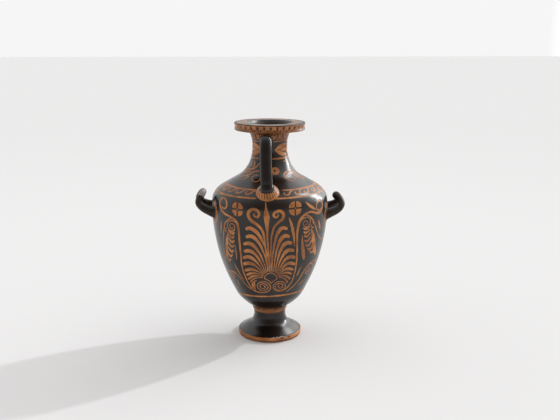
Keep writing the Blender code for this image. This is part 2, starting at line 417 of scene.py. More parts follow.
def line_level(azimuth, level, sway=0.0, sway_azimuth=0.0):
    """Arc length of a hand-drawn line round the jar, which rises toward one side."""
    turn = np.radians(azimuth)
    return level + sway * np.cos(turn - math.radians(sway_azimuth)) + 0.12 * np.sin(5.0 * turn + level)


def paint_ring(level, width, paint=CLAY, sway=0.0, sway_azimuth=0.0, gap=None):
    """A line round the jar, which may leave a gap between two azimuths at the front."""
    last = SEAM_AZIMUTH + 360.0
    spans = [(SEAM_AZIMUTH, last)] if gap is None else [(SEAM_AZIMUTH, gap[0]), (gap[1], last)]
    for start, end in spans:
        radius = float(wall.at(level)[0])
        count = max(3, int(math.radians(end - start) * radius / (2.0 * PAINT_STEP)))
        azimuth = np.linspace(start, end, count + 1)
        turn = np.radians(azimuth)
        centre = line_level(azimuth, level, sway, sway_azimuth)
        swell = 0.09 * np.sin(7.0 * turn + level) + 0.07 * np.sin(16.0 * turn + 2.0 * level)
        half = width / 2.0 * (1.0 + swell)
        for edge in gap or ():
            fade = np.clip(np.abs(azimuth - edge) * math.radians(1.0) * radius / width, 0.0, 1.0)
            half = half * (0.3 + 0.7 * np.sqrt(fade))
        below = np.column_stack([azimuth, centre - half])
        above = np.column_stack([azimuth, centre + half])[::-1]
        painting.add_turned(np.concatenate([below, above]), paint)


def paint_field(low, high, paint):
    """A plain field all round the jar between two arc lengths."""
    azimuth = np.linspace(SEAM_AZIMUTH, SEAM_AZIMUTH + 360.0, RING_COLUMNS + 1)
    below = np.column_stack([azimuth, np.full(len(azimuth), low)])
    above = np.column_stack([azimuth, np.full(len(azimuth), high)])[::-1]
    painting.add_turned(np.concatenate([below, above]), paint)


def around(left, right, pitch, clear=0.8):
    """Azimuths of a motif repeated from each side of a gap at the front to the seam, about pitch apart.

    clear is the share of a pitch that the last one keeps from the seam.
    """
    places = []
    for start, end in ((right, SEAM_AZIMUTH + 360.0), (left, SEAM_AZIMUTH)):
        count = max(0, round(abs(end - start) / pitch - clear))
        step = (end - start) / (count + clear)
        places += [start + step * index for index in range(count + 1)]
    return places


# ---------------------------------------------------------------- ornament: the front and back panels

# Tip of each leaf (x, arc) and its full width, from the top leaf down, on the panel's own axis
LEFT_LEAVES = (
    (-35.3, 238, 6.3), (-35.3, 225.2, 6.1), (-39.6, 212.4, 6.2), (-39.5, 199.6, 6.2), (-41, 188, 6.3),
    (-41, 176.2, 6.3), (-39.2, 164, 6), (-36.7, 155.8, 4.7), (-34.2, 147.8, 4.2), (-31, 141.8, 3),
)
RIGHT_LEAVES = (
    (26.3, 239.6, 5.8), (30.5, 226.2, 6.2), (34.5, 214.4, 6.3), (38, 201.2, 6.4), (40.5, 188.4, 6.3),
    (40.5, 176.6, 6.2), (38, 166.2, 5.6), (36.5, 157.8, 4), (33.5, 148.8, 4.4), (29.8, 141.2, 3),
)
FAN_CENTRE = (2.3, 152.6)
FAN_R = 13.2


def palmette_leaf(tip, width, rank, side, azimuth):
    """One leaf of a fan: up from the root, over in an arch, and down to a blunt drooping tip.

    rank runs from 0 for the top leaf to 1 for the lowest, side is -1 or 1.
    """
    turn = math.radians(90.0 - side * (9.0 + 81.0 * rank ** 0.85))
    base = np.array([FAN_CENTRE[0] + FAN_R * math.cos(turn), FAN_CENTRE[1] + FAN_R * math.sin(turn)])
    tip = np.array(tip)
    chord = math.hypot(*(tip - base))
    heading = math.radians(90.0 * (1.0 - 0.95 * rank ** 1.6))
    first = base + chord * (0.58 - 0.22 * rank) * np.array([side * math.cos(heading), math.sin(heading)])
    droop = math.radians(31.0 + 34.0 * max(0.0, (rank - 0.75) / 0.25))
    second = tip + (17.0 - 6.5 * rank ** 2) * np.array([-side * math.cos(droop), math.sin(droop)])
    path = bezier(base, first, second, tip, 28)
    t = np.linspace(0.0, 1.0, len(path))
    root_width = 1.3
    widths = root_width + (width - root_width) * np.clip((t - 0.12) / 0.58, 0.0, 1.0) ** 1.3
    widths *= 1.0 - 0.14 * np.clip((t - 0.86) / 0.14, 0.0, 1.0)
    paint_path(np.column_stack([path, widths]), azimuth)


def fan_of_leaves(leaves, side, azimuth):
    for index, (x, level, width) in enumerate(leaves):
        palmette_leaf((x, level), width, index / (len(leaves) - 1), side, azimuth)


def palmette_crown(azimuth):
    """The tall bud and the two volutes above the fan."""
    paint_strokes(([
        (1.4, 166, 1.5), (0, 188, 1.9), (-1.8, 208, 2.4), (-2.8, 226, 2.8), (-3.2, 238, 4),
        (-3.5, 247, 6), (-3.9, 258, 9), (-4.6, 267, 5.6), (-5.3, 276, 2.2), (-5.6, 284, 0.5),
    ], [
        (-1.4, 166.4, 1.2), (-4.6, 194, 1.7), (-6.6, 216, 2.4), (-8.2, 229, 3.4), (-11.4, 238, 4),
        (-18, 245.4, 4.4), (-26.4, 250.6, 4.9), (-31.6, 256, 5.4), (-33, 263, 5.2), (-29, 268.6, 4.9),
        (-22.6, 269.6, 4.6), (-16.6, 266.4, 4.4), (-15.8, 261, 4.2), (-19, 258.2, 3.6), (-22.8, 259.2, 2.8),
        (-24.2, 262.2, 2), (-22.6, 264.2, 1.1),
    ], [
        (3.6, 166.2, 1.2), (2.6, 194, 1.5), (2.8, 214, 2), (4.4, 232, 2.9), (8.6, 243.8, 3.3),
        (15, 250.4, 3.9), (20.6, 254.8, 4.6), (22.6, 260.6, 4.8), (19.8, 266.2, 4.7), (13.8, 267.8, 4.5),
        (8.2, 265.4, 4.1), (7.1, 260.8, 4), (9.8, 258.1, 3.4), (13, 258.9, 2.6), (14.2, 261.6, 1.9),
        (12.8, 263.4, 1.1),
    ]), azimuth)


def palmette_heart(azimuth):
    """The black core with its reserved outline, and a crescent leaf beside it."""
    paint_strokes(([
        (3.2, 141.6, 1.4), (-0.4, 146.4, 1.6), (-4.6, 149.2, 1.6), (-7.6, 151.8, 1.8), (-6.2, 157, 1.9),
        (-2.2, 161, 1.9), (2.4, 162.6, 1.9), (7.2, 160.6, 1.9), (11, 156.2, 1.9), (12.4, 151.4, 1.8),
        (9, 148, 1.6), (5.4, 145.4, 1.5), (3.4, 142.4, 1.2),
    ], [
        (-20, 147, 0.6), (-24.4, 143.4, 3.6), (-26.4, 136.6, 6.4), (-25, 130.8, 4.6), (-22, 126.8, 0.8),
    ]), azimuth)


def frame_tendrils(azimuth):
    """The two long tendrils that start as volutes under the core and frame the fan."""
    widths = (1.8, 1.5, 1.5, 1.6, 1.8, 2.2)
    inner = spiral((-10, 134.2), (2.2, 4.6, 6.4, 9.2, 10.6, 13.7), 70.0, -2.486, widths)
    outer = curve_through([
        (-19.6, 121.5, 2.4), (-26, 125, 2.4), (-31.8, 132, 2.3), (-36.4, 141, 2.3),
        (-40.6, 151.5, 2.4), (-44.2, 163, 2.5), (-46.4, 175, 2.7), (-47.2, 190, 3), (-48.4, 206, 3.4),
        (-49.4, 222, 3.7), (-50.6, 237, 4.2), (-54, 246.8, 4.6), (-61, 251.9, 3.6),
        (-70, 254.4, 3.2), (-80, 257, 3.6), (-88, 260.6, 4),
    ], 8)
    loop = spiral((-83, 271.6), (10.4, 9.6, 8.8, 6.0), 236.0, -1.0, (3.8, 3.2, 3.0, 2.0))
    paint_path(np.concatenate([inner, outer, loop]), azimuth)
    inner = spiral((17, 134.4), (1.6, 4.4, 6.4, 9, 10.4, 11), 120.0, 2.45, widths)
    outer = curve_through([
        (26.6, 126.9, 2.4), (32.4, 132.8, 2.3), (37.4, 141.4, 2.3), (40.9, 151.6, 2.4), (43.2, 162, 2.5),
        (45, 176, 2.7), (45.8, 192, 2.9), (45.6, 210, 3), (45.4, 226, 3.4),
        (46.6, 239, 4.4), (50.4, 249.6, 5.4), (57.6, 257.6, 4), (67, 260.9, 2.8), (77, 260, 3.4),
        (86, 257, 4.2), (93.6, 255.4, 4.4),
    ], 8)
    loop = spiral((94.4, 267), (10.2, 9.4, 8.8, 6.2), -62.0, 1.05, (4.2, 3.4, 3.0, 2.0))
    paint_path(np.concatenate([inner, outer, loop]), azimuth)


# How far a rosette's cross of ground runs past the petals, its width there as a share of its gap,
# and the clay spot as a share of the dot
CROSS_PAST = 1.3
CROSS_END = 1.5
SPOT_SHARE = 0.45
PETAL_POWER = 2.3


def rosette(centre, half_width, half_height, gap, dot, azimuth):
    """Four petals round a black dot, which has a small spot of clay at its centre."""
    paint_blob(centre, half_width, half_height, azimuth, CLAY, PETAL_POWER)
    x, level = centre
    for right, up in ((half_width + CROSS_PAST, 0.0), (0.0, half_height + CROSS_PAST)):
        start = (x - right, level - up, gap * CROSS_END)
        end = (x + right, level + up, gap * CROSS_END)
        painting.add(stroke(curve_through([start, (x, level, gap), end], 6)), GLOSS, azimuth)
    paint_blob(centre, dot, dot, azimuth, GLOSS)
    paint_blob(centre, dot * SPOT_SHARE, dot * SPOT_SHARE, azimuth, CLAY)


def filler_leaves(azimuth):
    """Loose slender leaves that fill the ground of the panel."""
    paint_strokes((
        [(30.8, 257.5, 0.6), (34, 249, 3.4), (37.2, 238, 4.6), (39.6, 224, 3.6), (41.2, 208, 0.8)],
        [(54.6, 225, 0.6), (55.6, 212, 4.2), (57.4, 197, 6.6), (59, 188, 6.2), (59.8, 180.6, 2.2)],
        [(-57.4, 208, 0.6), (-56.8, 198, 2.6), (-56.2, 188, 2.8), (-56, 181, 0.8)],
        [(60.6, 278.5, 0.6), (65.6, 274, 3.8), (72, 269.6, 4.6), (79, 265.4, 3.4), (85.6, 262.2, 0.6)],
        [(-62, 174, 0.6), (-57.6, 165.6, 2.2), (-53.6, 158.4, 2.3), (-48.8, 150.4, 2),
         (-43.6, 142.4, 0.7)],
        [(55, 168.6, 0.6), (51.6, 162.6, 2.8), (48.8, 156.6, 3), (46.2, 150.4, 0.7)],
        [(52, 131, 0.7), (57, 133.4, 2.4), (62.4, 136.2, 2.4), (68, 138.6, 0.7)],
        [(-58.4, 141, 0.6), (-57, 134.4, 1.5), (-54.8, 127.4, 0.7)],
        [(91.4, 244.6, 0.7), (94.4, 238.4, 4.4), (96.8, 231, 4.4), (98.6, 224.6, 0.7)],
        [(-89.4, 243, 0.7), (-90, 235, 3.8), (-90.6, 228, 3.6), (-91, 221, 0.7)],
    ), azimuth)


def crescents(tips, shape, inner, azimuth, mirror=1.0):
    """Small curved leaves, one below another.

    shape holds (x, arc, width) steps from each tip.  inner is the inner end's x and width, and its
    rise on the first leaf and on each leaf more.
    """
    across, width, rise, more = inner
    for rank, (x, level) in enumerate(tips):
        row = [(x + right, level + up, wide) for right, up, wide in shape]
        row.append((x + across, level + (rise + more * rank), width))
        paint_stroke(row, azimuth, mirror=mirror)


def left_half_palmette(azimuth, mirror=1.0):
    """A half palmette hanging from a volute outside the frame."""
    paint_strokes((
        [(-85.4, 214, 1.2), (-83.6, 224, 2.2), (-80.8, 235.4, 2.4), (-78.4, 241.6, 2.1),
         (-73.8, 246.8, 1.9), (-68.4, 250.2, 1.8), (-61, 251.8, 1.1)],
        [(-53.6, 243.6, 1.6), (-57.2, 246.8, 1.9), (-62.8, 248, 1.8), (-68.6, 246.6, 1.8),
         (-72.4, 242.6, 1.8), (-73.2, 238, 1.8), (-71.8, 233.8, 1.6), (-67.8, 231.1, 1.6),
         (-62.4, 231, 1.7), (-58.4, 234, 1.7), (-57.7, 238.4, 1.7), (-60.1, 242, 1.7), (-64, 243.3, 1.6),
         (-67.3, 241, 1.6), (-67.9, 237.5, 1.6), (-65.6, 235, 1.5), (-62.8, 235.4, 1.5),
         (-61.5, 236.8, 1)],
        [(-72, 227, 2), (-75, 217, 4.6), (-77.2, 204, 6.4), (-78.6, 191, 6.6), (-79, 181, 5)],
        [(-84.6, 219, 0.8), (-86.6, 206, 1.8), (-87.6, 190, 2.2), (-87, 174, 2.2), (-85.4, 166, 0.8)],
        [(-74.8, 234.4, 1.2), (-78.4, 231, 2), (-76.4, 227.4, 1.6)],
    ), azimuth, mirror=mirror)
    tips = (
        (-59.2, 229.4), (-60, 222.6), (-59.8, 215), (-60.2, 206.8), (-61.6, 197.8), (-65.2, 188.6),
        (-69.8, 179.2),
    )
    shape = ((0, 0, 2.6), (-2.6, -2.7, 4.3), (-6.6, -2.4, 4.2))
    crescents(tips, shape, (-11.6, 2.8, 1.0, 0.5), azimuth, mirror)


def right_half_palmette(azimuth):
    """Its fellow on the right, which opens wider and ends in a long tail."""
    paint_strokes((
        [(55, 255.4, 1.2), (62, 257.2, 2), (69.6, 254, 2.2), (75.4, 248.6, 2.4), (80.6, 241.4, 2.4),
         (85.6, 232.6, 2.6), (90.8, 222.4, 2.8), (98, 214, 2.4), (106, 208.4, 1.8), (116, 205.6, 0.8)],
        [(49.6, 247.6, 1.8), (53.6, 251.2, 2.1), (59, 253.2, 1.9), (65, 253.2, 1.8), (69.4, 250.4, 1.7),
         (71, 246, 1.7), (69.8, 241.7, 1.7), (66.6, 238.9, 1.7), (62, 238, 1.7), (58.1, 240, 1.7),
         (56.5, 244, 1.7), (58.1, 247.3, 1.7), (61.6, 248, 1.6), (64.6, 246.2, 1.6), (64.8, 243.1, 1.6),
         (62.6, 241.6, 1.5), (60.8, 242.7, 1.1)],
        [(73.8, 232.6, 2.4), (77.6, 223, 6.4), (80.2, 212, 9), (83, 201, 9), (86.6, 191, 8.4),
         (88.6, 186.4, 6.6)],
        [(71.6, 240.4, 1.2), (73, 237.4, 2.4), (76.4, 235, 2.2), (79.8, 234, 1)],
        [(74.8, 245.4, 0.9), (77.4, 242.4, 1.8), (80, 239.4, 1.6)],
    ), azimuth)
    tips = (
        (57.2, 236.8), (57.8, 230.4), (58.8, 223.8), (60, 215.6), (62.6, 207.4), (67.4, 199.8), (73, 193.4),
    )
    shape = ((0, 0, 2.4), (2.8, -1.9, 3.6), (6.8, -1.7, 3.9))
    crescents(tips, shape, (12.0, 2.6, 0.4, 1.1), azimuth)


def lower_spray(strokes, curl, azimuth, mirror=1.0):
    """A branch that leaves the frame's foot and hangs over a small volute.

    curl is the volute's centre, its radius and the angle it starts at.
    """
    paint_strokes(strokes, azimuth, mirror=mirror)
    centre, radius, start = curl
    turn = spiral(centre, [radius * part for part in (1.0, 0.9, 0.7, 0.5, 0.3, 0.13)], start, -1.9,
                  (0.8, 1.4, 1.5, 1.5, 1.4, 1.3))
    turn[:, 0] *= mirror
    paint_path(turn, azimuth)


# The left spray is drawn as if on the right, like the right one, and mirrored
LEFT_SPRAY = (([
    (31, 126, 1.6), (40, 133.4, 1.8), (47, 141.6, 1.9), (54, 149, 2), (61, 153.6, 2.1), (69, 155.4, 2.1),
    (78, 153, 2), (87, 147.6, 1.6), (92, 141, 0.8),
],), ((69.6, 145.6), 7.6, 150.0))
RIGHT_SPRAY = (([
    (29, 121, 1.6), (38, 127.6, 1.9), (46, 135.4, 2), (52.6, 143.4, 2.1), (57.8, 151.6, 2.2), (63, 160, 2.2),
    (69, 166, 2.2), (77, 168.6, 2.2), (85, 165.6, 2.1), (91, 158.6, 1.8), (93.4, 150.6, 0.8),
], [
    (70, 167, 1), (79, 171.4, 1.7), (89, 171.8, 1.8), (101, 168.2, 0.8),
]), ((71, 156), 8.6, 150.0))


def framed_palmette(azimuth):
    """What the front and the back share."""
    fan_of_leaves(LEFT_LEAVES, -1.0, azimuth)
    fan_of_leaves(RIGHT_LEAVES, 1.0, azimuth)
    palmette_crown(azimuth)
    palmette_heart(azimuth)
    frame_tendrils(azimuth)
    left_half_palmette(azimuth)


# Centre, half width and half height, gap between the petals and radius of the dot
FRONT_ROSETTES = (((-52.4, 267.4), 10.4, 10.9, 2.2, 2.9), ((41.8, 270.4), 11.0, 11.2, 1.9, 2.7))
BACK_ROSETTES = (((-52.4, 267.4), 10.4, 10.9, 1.9, 2.1), ((50.0, 268.4), 10.6, 10.6, 1.7, 1.8))


def front_panel():
    azimuth = PANEL_AZIMUTH
    framed_palmette(azimuth)
    right_half_palmette(azimuth)
    lower_spray(*LEFT_SPRAY, azimuth, -1.0)
    lower_spray(*RIGHT_SPRAY, azimuth)
    filler_leaves(azimuth)
    for shape in FRONT_ROSETTES:
        rosette(*shape, azimuth)


def back_panel():
    """The unseen side: the same fan and frame, with fewer leaves loose in the ground."""
    azimuth = BACK_AZIMUTH
    framed_palmette(azimuth)
    left_half_palmette(azimuth, -1.0)
    lower_spray(*LEFT_SPRAY, azimuth, -1.0)
    lower_spray(*LEFT_SPRAY, azimuth)
    for shape in BACK_ROSETTES:
        rosette(*shape, azimuth)


# ---------------------------------------------------------------- ornament: bands

# Azimuths between which the strap and its collar leave a gap in the bands
STRAP_GAP = (-40.0, 8.0)
COLLAR_GAP = (-17.6, 1.2)
WAVE_GAP = (-19.6, 11.6)
LAUREL_GAP = (-37.0, 2.4)

# Plain fields by arc length
FOOT_CLAY = 9.3
FOOT_BROWN = 3.2
# The stem's brown is partly a painted shadow: above the clay band it darkens the ring's upper half under the
# body
STEM_BROWN_AND_SHADE = (55.4, 65.0)
STEM_CLAY = (58.0, 60.9)
NECK_BROWN = (397.6, 434.4)
LIP_CLAY = (434.4, 446.0)
LIP_BROWN = (434.4, 441.4)

# Lines round the jar: arc length, width, paint, how far one sways up and toward what azimuth, gap
BASE_LINE = (106.6, 3.5, CLAY, 6.9, 25.0)
SHOULDER_LINE = (287.3, 3.2, CLAY, 0.9, 45.0, COLLAR_GAP)
WAVE_LINE = (304.4, 3.7, CLAY, 1.4, -40.0, WAVE_GAP)
LAUREL_LINES = ((367.8, 2.8, CLAY, 0.3, 60.0, LAUREL_GAP), (395.4, 1.7, CLAY, 0.5, 100.0, STRAP_GAP))
LIP_LINES = ((433.9, 1.1, GLOSS), (445.9, 4.8, MATT))

# Where motifs repeat: azimuths of the first ones left and right of the gap, their pitch in
# degrees, and where it isn't the usual one, the share of it kept clear at the seam
WAVE_PLACES = (-27.6, 17.2, 13.4)
LAUREL_PLACES = (-31.0, 13.0, 46.0, 1.35)
TONGUE_PLACES = (-42.0, 10.0, 18.6)
LIP_DEGREES_PER_MM = 1.0 / 0.987
EGG_PLACES = (
    PANEL_AZIMUTH - 8.0 * LIP_DEGREES_PER_MM, PANEL_AZIMUTH + 2.0 * LIP_DEGREES_PER_MM, 10.4, 1.05,
)
FAR_LEAF_PLACES = (70.0, 112.0, 154.0, 196.0, 238.0)

# Motifs as (x, rise, width) rows from a level, which for the wave is this far below its line
WAVE_DROP = 6.6
WAVE = (
    (10.2, 6.2, 3), (5.6, 2.4, 3.2), (2.4, -2.2, 3.3), (-1.2, -4.7, 3.1), (-4.8, -4, 2.9), (-6, -1, 2.8),
    (-4.6, 1.6, 1.5),
)
LAUREL_LEVEL = 382.0
LAUREL_LEAF = ((0, 0, 1), (4, 2.4, 4.4), (10, 5.2, 6.4), (16, 7.2, 6.2), (22, 8, 4), (26.4, 8.2, 1))
LAUREL_BUD = ((8, 0, 0.7), (13, 0, 3), (17, 0, 5.8), (20.5, 0, 6))

ROOT_DISC_R = 18.0
ROOT_TONGUES = 13


def wave_band():
    """Running spirals that hang from a line round the shoulder, over a second line."""
    paint_ring(*WAVE_LINE)
    paint_ring(*SHOULDER_LINE)
    line_arc, _, _, sway, sway_azimuth, _ = WAVE_LINE
    for azimuth in around(*WAVE_PLACES):
        level = float(line_level(azimuth, line_arc, sway, sway_azimuth)) - WAVE_DROP
        paint_stroke(WAVE, azimuth, steps=6, lift=level)


def base_line():
    """The line under the panels."""
    paint_ring(*BASE_LINE)


def neck_bands():
    """Laurel between two lines, and tongues that climb to the lip."""
    for line in LAUREL_LINES:
        paint_ring(*line)
    for azimuth in around(*LAUREL_PLACES):
        side = 1.0 if azimuth > FRONT_AZIMUTH else -1.0
        for shape, way in ((LAUREL_LEAF, 1.0), (LAUREL_LEAF, -1.0), (LAUREL_BUD, 1.0)):
            row = [(x, LAUREL_LEVEL + rise * way, width) for x, rise, width in shape]
            paint_stroke(row, azimuth, mirror=side)
    paint_field(*NECK_BROWN, BROWN)
    for azimuth in around(*TONGUE_PLACES):
        paint_stroke([(0, 417.5, 6.6), (0, 407, 6.2), (0, 401.6, 4.4)], azimuth)
        paint_stroke([(0, 416, 1.3), (0, 408, 1.9), (0, 403.6, 0.9)], azimuth, GLOSS)
        for side in (-1.0, 1.0):
            edge = [(4.7, 413, 0.7), (4.4, 406, 1.1), (3.2, 400.2, 1.1), (0.4, 398.4, 0.8)]
            paint_stroke(edge, azimuth, GLOSS, mirror=side)


def shoulder_tendrils():
    """Tendrils on the upper shoulder, to both sides of the strap."""
    azimuth = PANEL_AZIMUTH
    paint_strokes((
        [(-18, 360, 1.7), (-22, 354.6, 1.9), (-27, 350.8, 2.1), (-32, 349, 2.3), (-39, 348.2, 2.8),
         (-47, 346.4, 2.4), (-58, 343.4, 1.2)],
        [(-17.6, 347.6, 2), (-22.6, 346.6, 2.6), (-28, 344.4, 2.3), (-34, 340.4, 2), (-40, 337.2, 2.2),
         (-48, 334.6, 2.3), (-60, 330.6, 1.4)],
        [(-31.4, 362.8, 0.9), (-28.4, 361.8, 2.3), (-27, 358, 2.8), (-28.4, 354.2, 2.2),
         (-31.6, 352, 0.9)],
        [(-37.4, 361.6, 0.9), (-35.4, 359, 2), (-35.2, 355.4, 1.8), (-36.8, 352.2, 0.8)],
        [(-44.4, 359, 0.9), (-42.2, 356.4, 1.9), (-42.2, 353.2, 1.6), (-43.4, 350.8, 0.8)],
        [(-54.4, 322.4, 0.7), (-47, 328, 1.9), (-40.6, 332.6, 1.8), (-35.6, 336, 0.8)],
        [(-34.6, 345.2, 0.9), (-42, 342.8, 2.6), (-51, 341.2, 3), (-63, 338, 1.4)],
    ), azimuth)
    paint_path(spiral((-22.9, 332), (7.4, 7), 62.0, 0.86, (1.5, 1.4)), azimuth)
    paint_blob((9.2, 347.6), 7.2, 6.8, azimuth, CLAY)
    paint_blob((8.2, 348.2), 1.9, 1.9, azimuth, GLOSS)
    paint_strokes((
        [(29.6, 344.4, 2.8), (25.4, 342, 3.6), (24.4, 338, 2.8), (27, 333, 2), (33, 328, 2),
         (40, 324.6, 2.4), (45.6, 325.2, 2.4), (46, 329.4, 1.9), (41, 333.6, 1.6), (34, 337.6, 1.3),
         (30, 338.6, 0.8)],
        [(25.6, 343.6, 2.6), (31, 345.2, 2.8), (39, 344, 2.4), (48, 341.6, 2.4), (60, 337.8, 1)],
        [(52, 333.6, 0.8), (60, 329.4, 1.6), (69, 323.6, 1.6), (76, 319, 0.7)],
        [(24, 364, 0.9), (29, 362.4, 2), (34.4, 359, 0.8)],
    ), azimuth)


def far_shoulder():
    """Plain leaves on the unseen part of the upper shoulder."""
    for azimuth in FAR_LEAF_PLACES:
        for side in (1, -1):
            paint_stroke([
                (1.4, 322, 0.9), (6, 327, 3), (9.6, 334, 3.6), (10, 341, 2.4), (7.6, 345, 0.8),
            ], azimuth, mirror=side)
        paint_stroke([(0, 319, 0.8), (0, 329, 3.4), (0, 340, 3), (0, 348, 0.8)], azimuth)


def lip_band():
    """Eggs and dots on the lip's face, a black line on its edge, and its reserved top."""
    paint_field(*LIP_CLAY, CLAY)
    paint_field(*LIP_BROWN, BROWN)
    paint_field(LIP_CLAY[1], wall.mouth - 0.4, DUSTY)
    for azimuth in around(*EGG_PLACES):
        paint_blob((5.2, 439.4), 3.2, 2.9, azimuth, CLAY)
        paint_blob((0, 440.2), 1.7, 2.9, azimuth, GLOSS)
        paint_stroke([(5.1, 438, 0.7), (5.1, 436.6, 1.4), (5.1, 435, 1.1)], azimuth, GLOSS)
    for line in LIP_LINES:
        paint_ring(*line)


def handle_roots():
    """A reserved disc with dark tongues round each root of the side handles."""
    for side, root_height, *_ in LOOPS:
        for turn in (-1, 1):
            azimuth = side * 90.0 + turn * math.degrees(LOOP_SPREAD)
            level = float(wall.arc_at(root_height))
            paint_blob((0.0, level), ROOT_DISC_R, ROOT_DISC_R, azimuth, CLAY)
            for index in range(ROOT_TONGUES):
                angle = 2.0 * math.pi * index / ROOT_TONGUES
                paint_stroke([
                    (reach * math.cos(angle), level + reach * math.sin(angle), width)
                    for reach, width in ((12, 1.6), (14, 3), (16, 1.8))
                ], azimuth, MATT if index % 3 else BROWN)


def foot_and_ring():
    """The foot's reserved edge with its chips and worn spots, the pale ones partly painted highlights, and
    the reserved ring on the stem.
    """
    paint_field(wall.low, FOOT_CLAY, CLAY)
    paint_field(wall.low, FOOT_BROWN, BROWN)
    # pale worn spots on the chipped edge, partly painted highlights on the chips
    paint_strokes((
        [(2, 7.2, 1.4), (4.8, 7.5, 1.6)], [(5.2, 10.1, 1), (8.6, 10.4, 1.3)],
        [(11.8, 11.6, 1), (14.4, 9.4, 1.7), (17.4, 10.2, 1.6), (20.8, 11, 1.4), (24.4, 9.2, 1.7),
         (28.8, 7.4, 1.4), (31.2, 5.4, 0.8)],
    ), PANEL_AZIMUTH, WORN_AND_HIGHLIGHT)
    paint_strokes((
        [(19.2, 6.6, 1.4), (21.4, 7.8, 2.2), (23, 6.4, 1.4)], [(32.4, 7.8, 1.3), (35.6, 6.4, 1.9)],
    ), PANEL_AZIMUTH, MATT)
    # brown under and over the ring, the part over it a painted shadow under the body
    paint_field(*STEM_BROWN_AND_SHADE, BROWN)
    paint_field(*STEM_CLAY, CLAY)


# ---------------------------------------------------------------- where the handles meet the wall

STRAP_OFFSET = -6.3
STRAP_SQUASH = 1.6
STRAP_R = 5.6
STRAP_SWELL = 0.45
STRAP_POWER = 2.4
STRAP_ROUTE = (
    (25.7, 0.5, 331.0), (36.0, -0.2, 334.6), (50.0, 0.0, 338.8), (62.0, 0.0, 339.2), (70.0, 0.0, 326.6),
    (74.0, 0.2, 303.0), (78.0, 1.1, 279.0), (78.9, 1.9, 264.5), (77.2, 2.3, 256.6),
)
COLLAR_OFFSET = -3.4
COLLAR_R = 18.3
COLLAR_H = 9.4
COLLAR_TILT = math.radians(32.0)
COLLAR_CENTRE = (76.0, 259.2)
# The collar's surface: how far down the strap its crease is looked for, steps across its top and
# spacing below, how near the wall it ends, and the shares of that way where it has a ring
COLLAR_SEARCH = 16.0
COLLAR_STEPS = 40
COLLAR_SPACING = 0.5
COLLAR_MEETS = 0.12
COLLAR_RINGS = (0.0, 0.05, 0.12, 0.22, 0.34, 0.46, 0.58, 0.7, 0.78, 0.84, 0.89, 0.93, 0.965, 1.0)
# Its outline on the wall: lift and widening before it is dropped, and how far it may drop
COLLAR_LIFT = 0.3
COLLAR_WIDER = 0.012
COLLAR_DROP = 12.0
# The strap's last ring stands this far above the collar's top
STRAP_END = 0.6
# How far each handle's first free ring is from the wall, the size of its foot on the wall, and the
# rings of its fillet with their pull along the wall and the rod
STRAP_FREE = 3.0
STRAP_FOOT = 1.17
STRAP_FILLET = (4, 1.0)
LOOP_FREE = 0.6
LOOP_FOOT_R = 12.6
LOOP_FILLET = (2, 0.8)

LOOP_SPREAD = math.radians(14.5)
LOOP_REACH = 117.0
LOOP_ROD_R = 5.58
LOOP_SWELL = 2.3
LOOP_TAPER = 24.0
LOOP_FLARE = 3.4
FLARE_REACH = 2.5
# Side, root height, rise, and two bends: how far short of LOOP_REACH, half spread and share of the rise
LOOPS = (
    (1.0, 212.5, 25.0, (0.0, 16.0, 0.62), (2.6, 9.0, 0.87)),
    (-1.0, 217.5, 28.0, (0.4, 16.6, 0.56), (4.0, 9.6, 0.865)),
)
# The loop with a worn tip: its side, how much is worn off and over what reach, and where the painted
# highlight on its tip starts, as a share of the rise and as a turn toward the front
WORN_LOOP = -1.0
WORN_DEPTH = 0.8
WORN_REACH = 9.0
HIGHLIGHT_RISE = 0.78
HIGHLIGHT_FACING = 0.25


def radius_at(height):
    """Outer radius of the body or neck at a height."""
    return np.interp(height, wall.z[wall.outside], wall.r[wall.outside])


def clearance(points):
    """How far points are outside the wall, measured level."""
    return np.hypot(points[..., 0], points[..., 1]) - radius_at(points[..., 2])


def dropped(points, directions, reach=40.0):
    """Where points moved along their directions first meet the wall."""
    steps = np.linspace(0.0, reach, DROP_STEPS + 1)
    travel = points[:, None, :] + directions[:, None, :] * steps[None, :, None]
    clear = clearance(travel)
    low = np.argmax(clear <= 0.0, axis=1)
    low = np.where((clear <= 0.0).any(axis=1), low, len(steps) - 1)
    near, far = steps[np.maximum(low - 1, 0)], steps[low]
    for _ in range(HALVINGS):
        middle = 0.5 * (near + far)
        outside = clearance(points + directions * middle[:, None]) > 0.0
        near, far = np.where(outside, middle, near), np.where(outside, far, middle)
    return points + directions * far[:, None]


def spot(points):
    """Azimuth in degrees and arc length of points on the wall."""
    azimuth = np.degrees(np.arctan2(points[:, 0], -points[:, 1]))
    return np.column_stack([azimuth, wall.arc_at(points[:, 2])])


def turned(points, azimuth):
    """From (out, sideways, up) axes at an azimuth to the jar's own axes."""
    turn = math.radians(azimuth)
    out = np.array([math.sin(turn), -math.cos(turn), 0.0])
    side = np.array([math.cos(turn), math.sin(turn), 0.0])
    up = np.array([0.0, 0.0, 1.0])
    return points[..., :1] * out + points[..., 1:2] * side + points[..., 2:] * up


def tube(path, radii, sides, squash, across, power=2.0):
    """Rings of a rod along a path; across is the direction that squash widens, power squares it."""
    along = np.gradient(path, axis=0)
    along /= np.linalg.norm(along, axis=1, keepdims=True)
    rings = []
    side = np.array(across, float)
    for centre, forward, radius in zip(path, along, radii):
        side = side - forward * np.dot(side, forward)
        side /= np.linalg.norm(side)
        other = np.cross(forward, side)
        angles = np.linspace(0.0, 2.0 * math.pi, sides, endpoint=False)
        wide = squash * np.sign(np.cos(angles)) * np.abs(np.cos(angles)) ** (2.0 / power)
        deep = np.sign(np.sin(angles)) * np.abs(np.sin(angles)) ** (2.0 / power)
        rings.append(centre + radius * (wide[:, None] * side + deep[:, None] * other))
    return np.array(rings), along


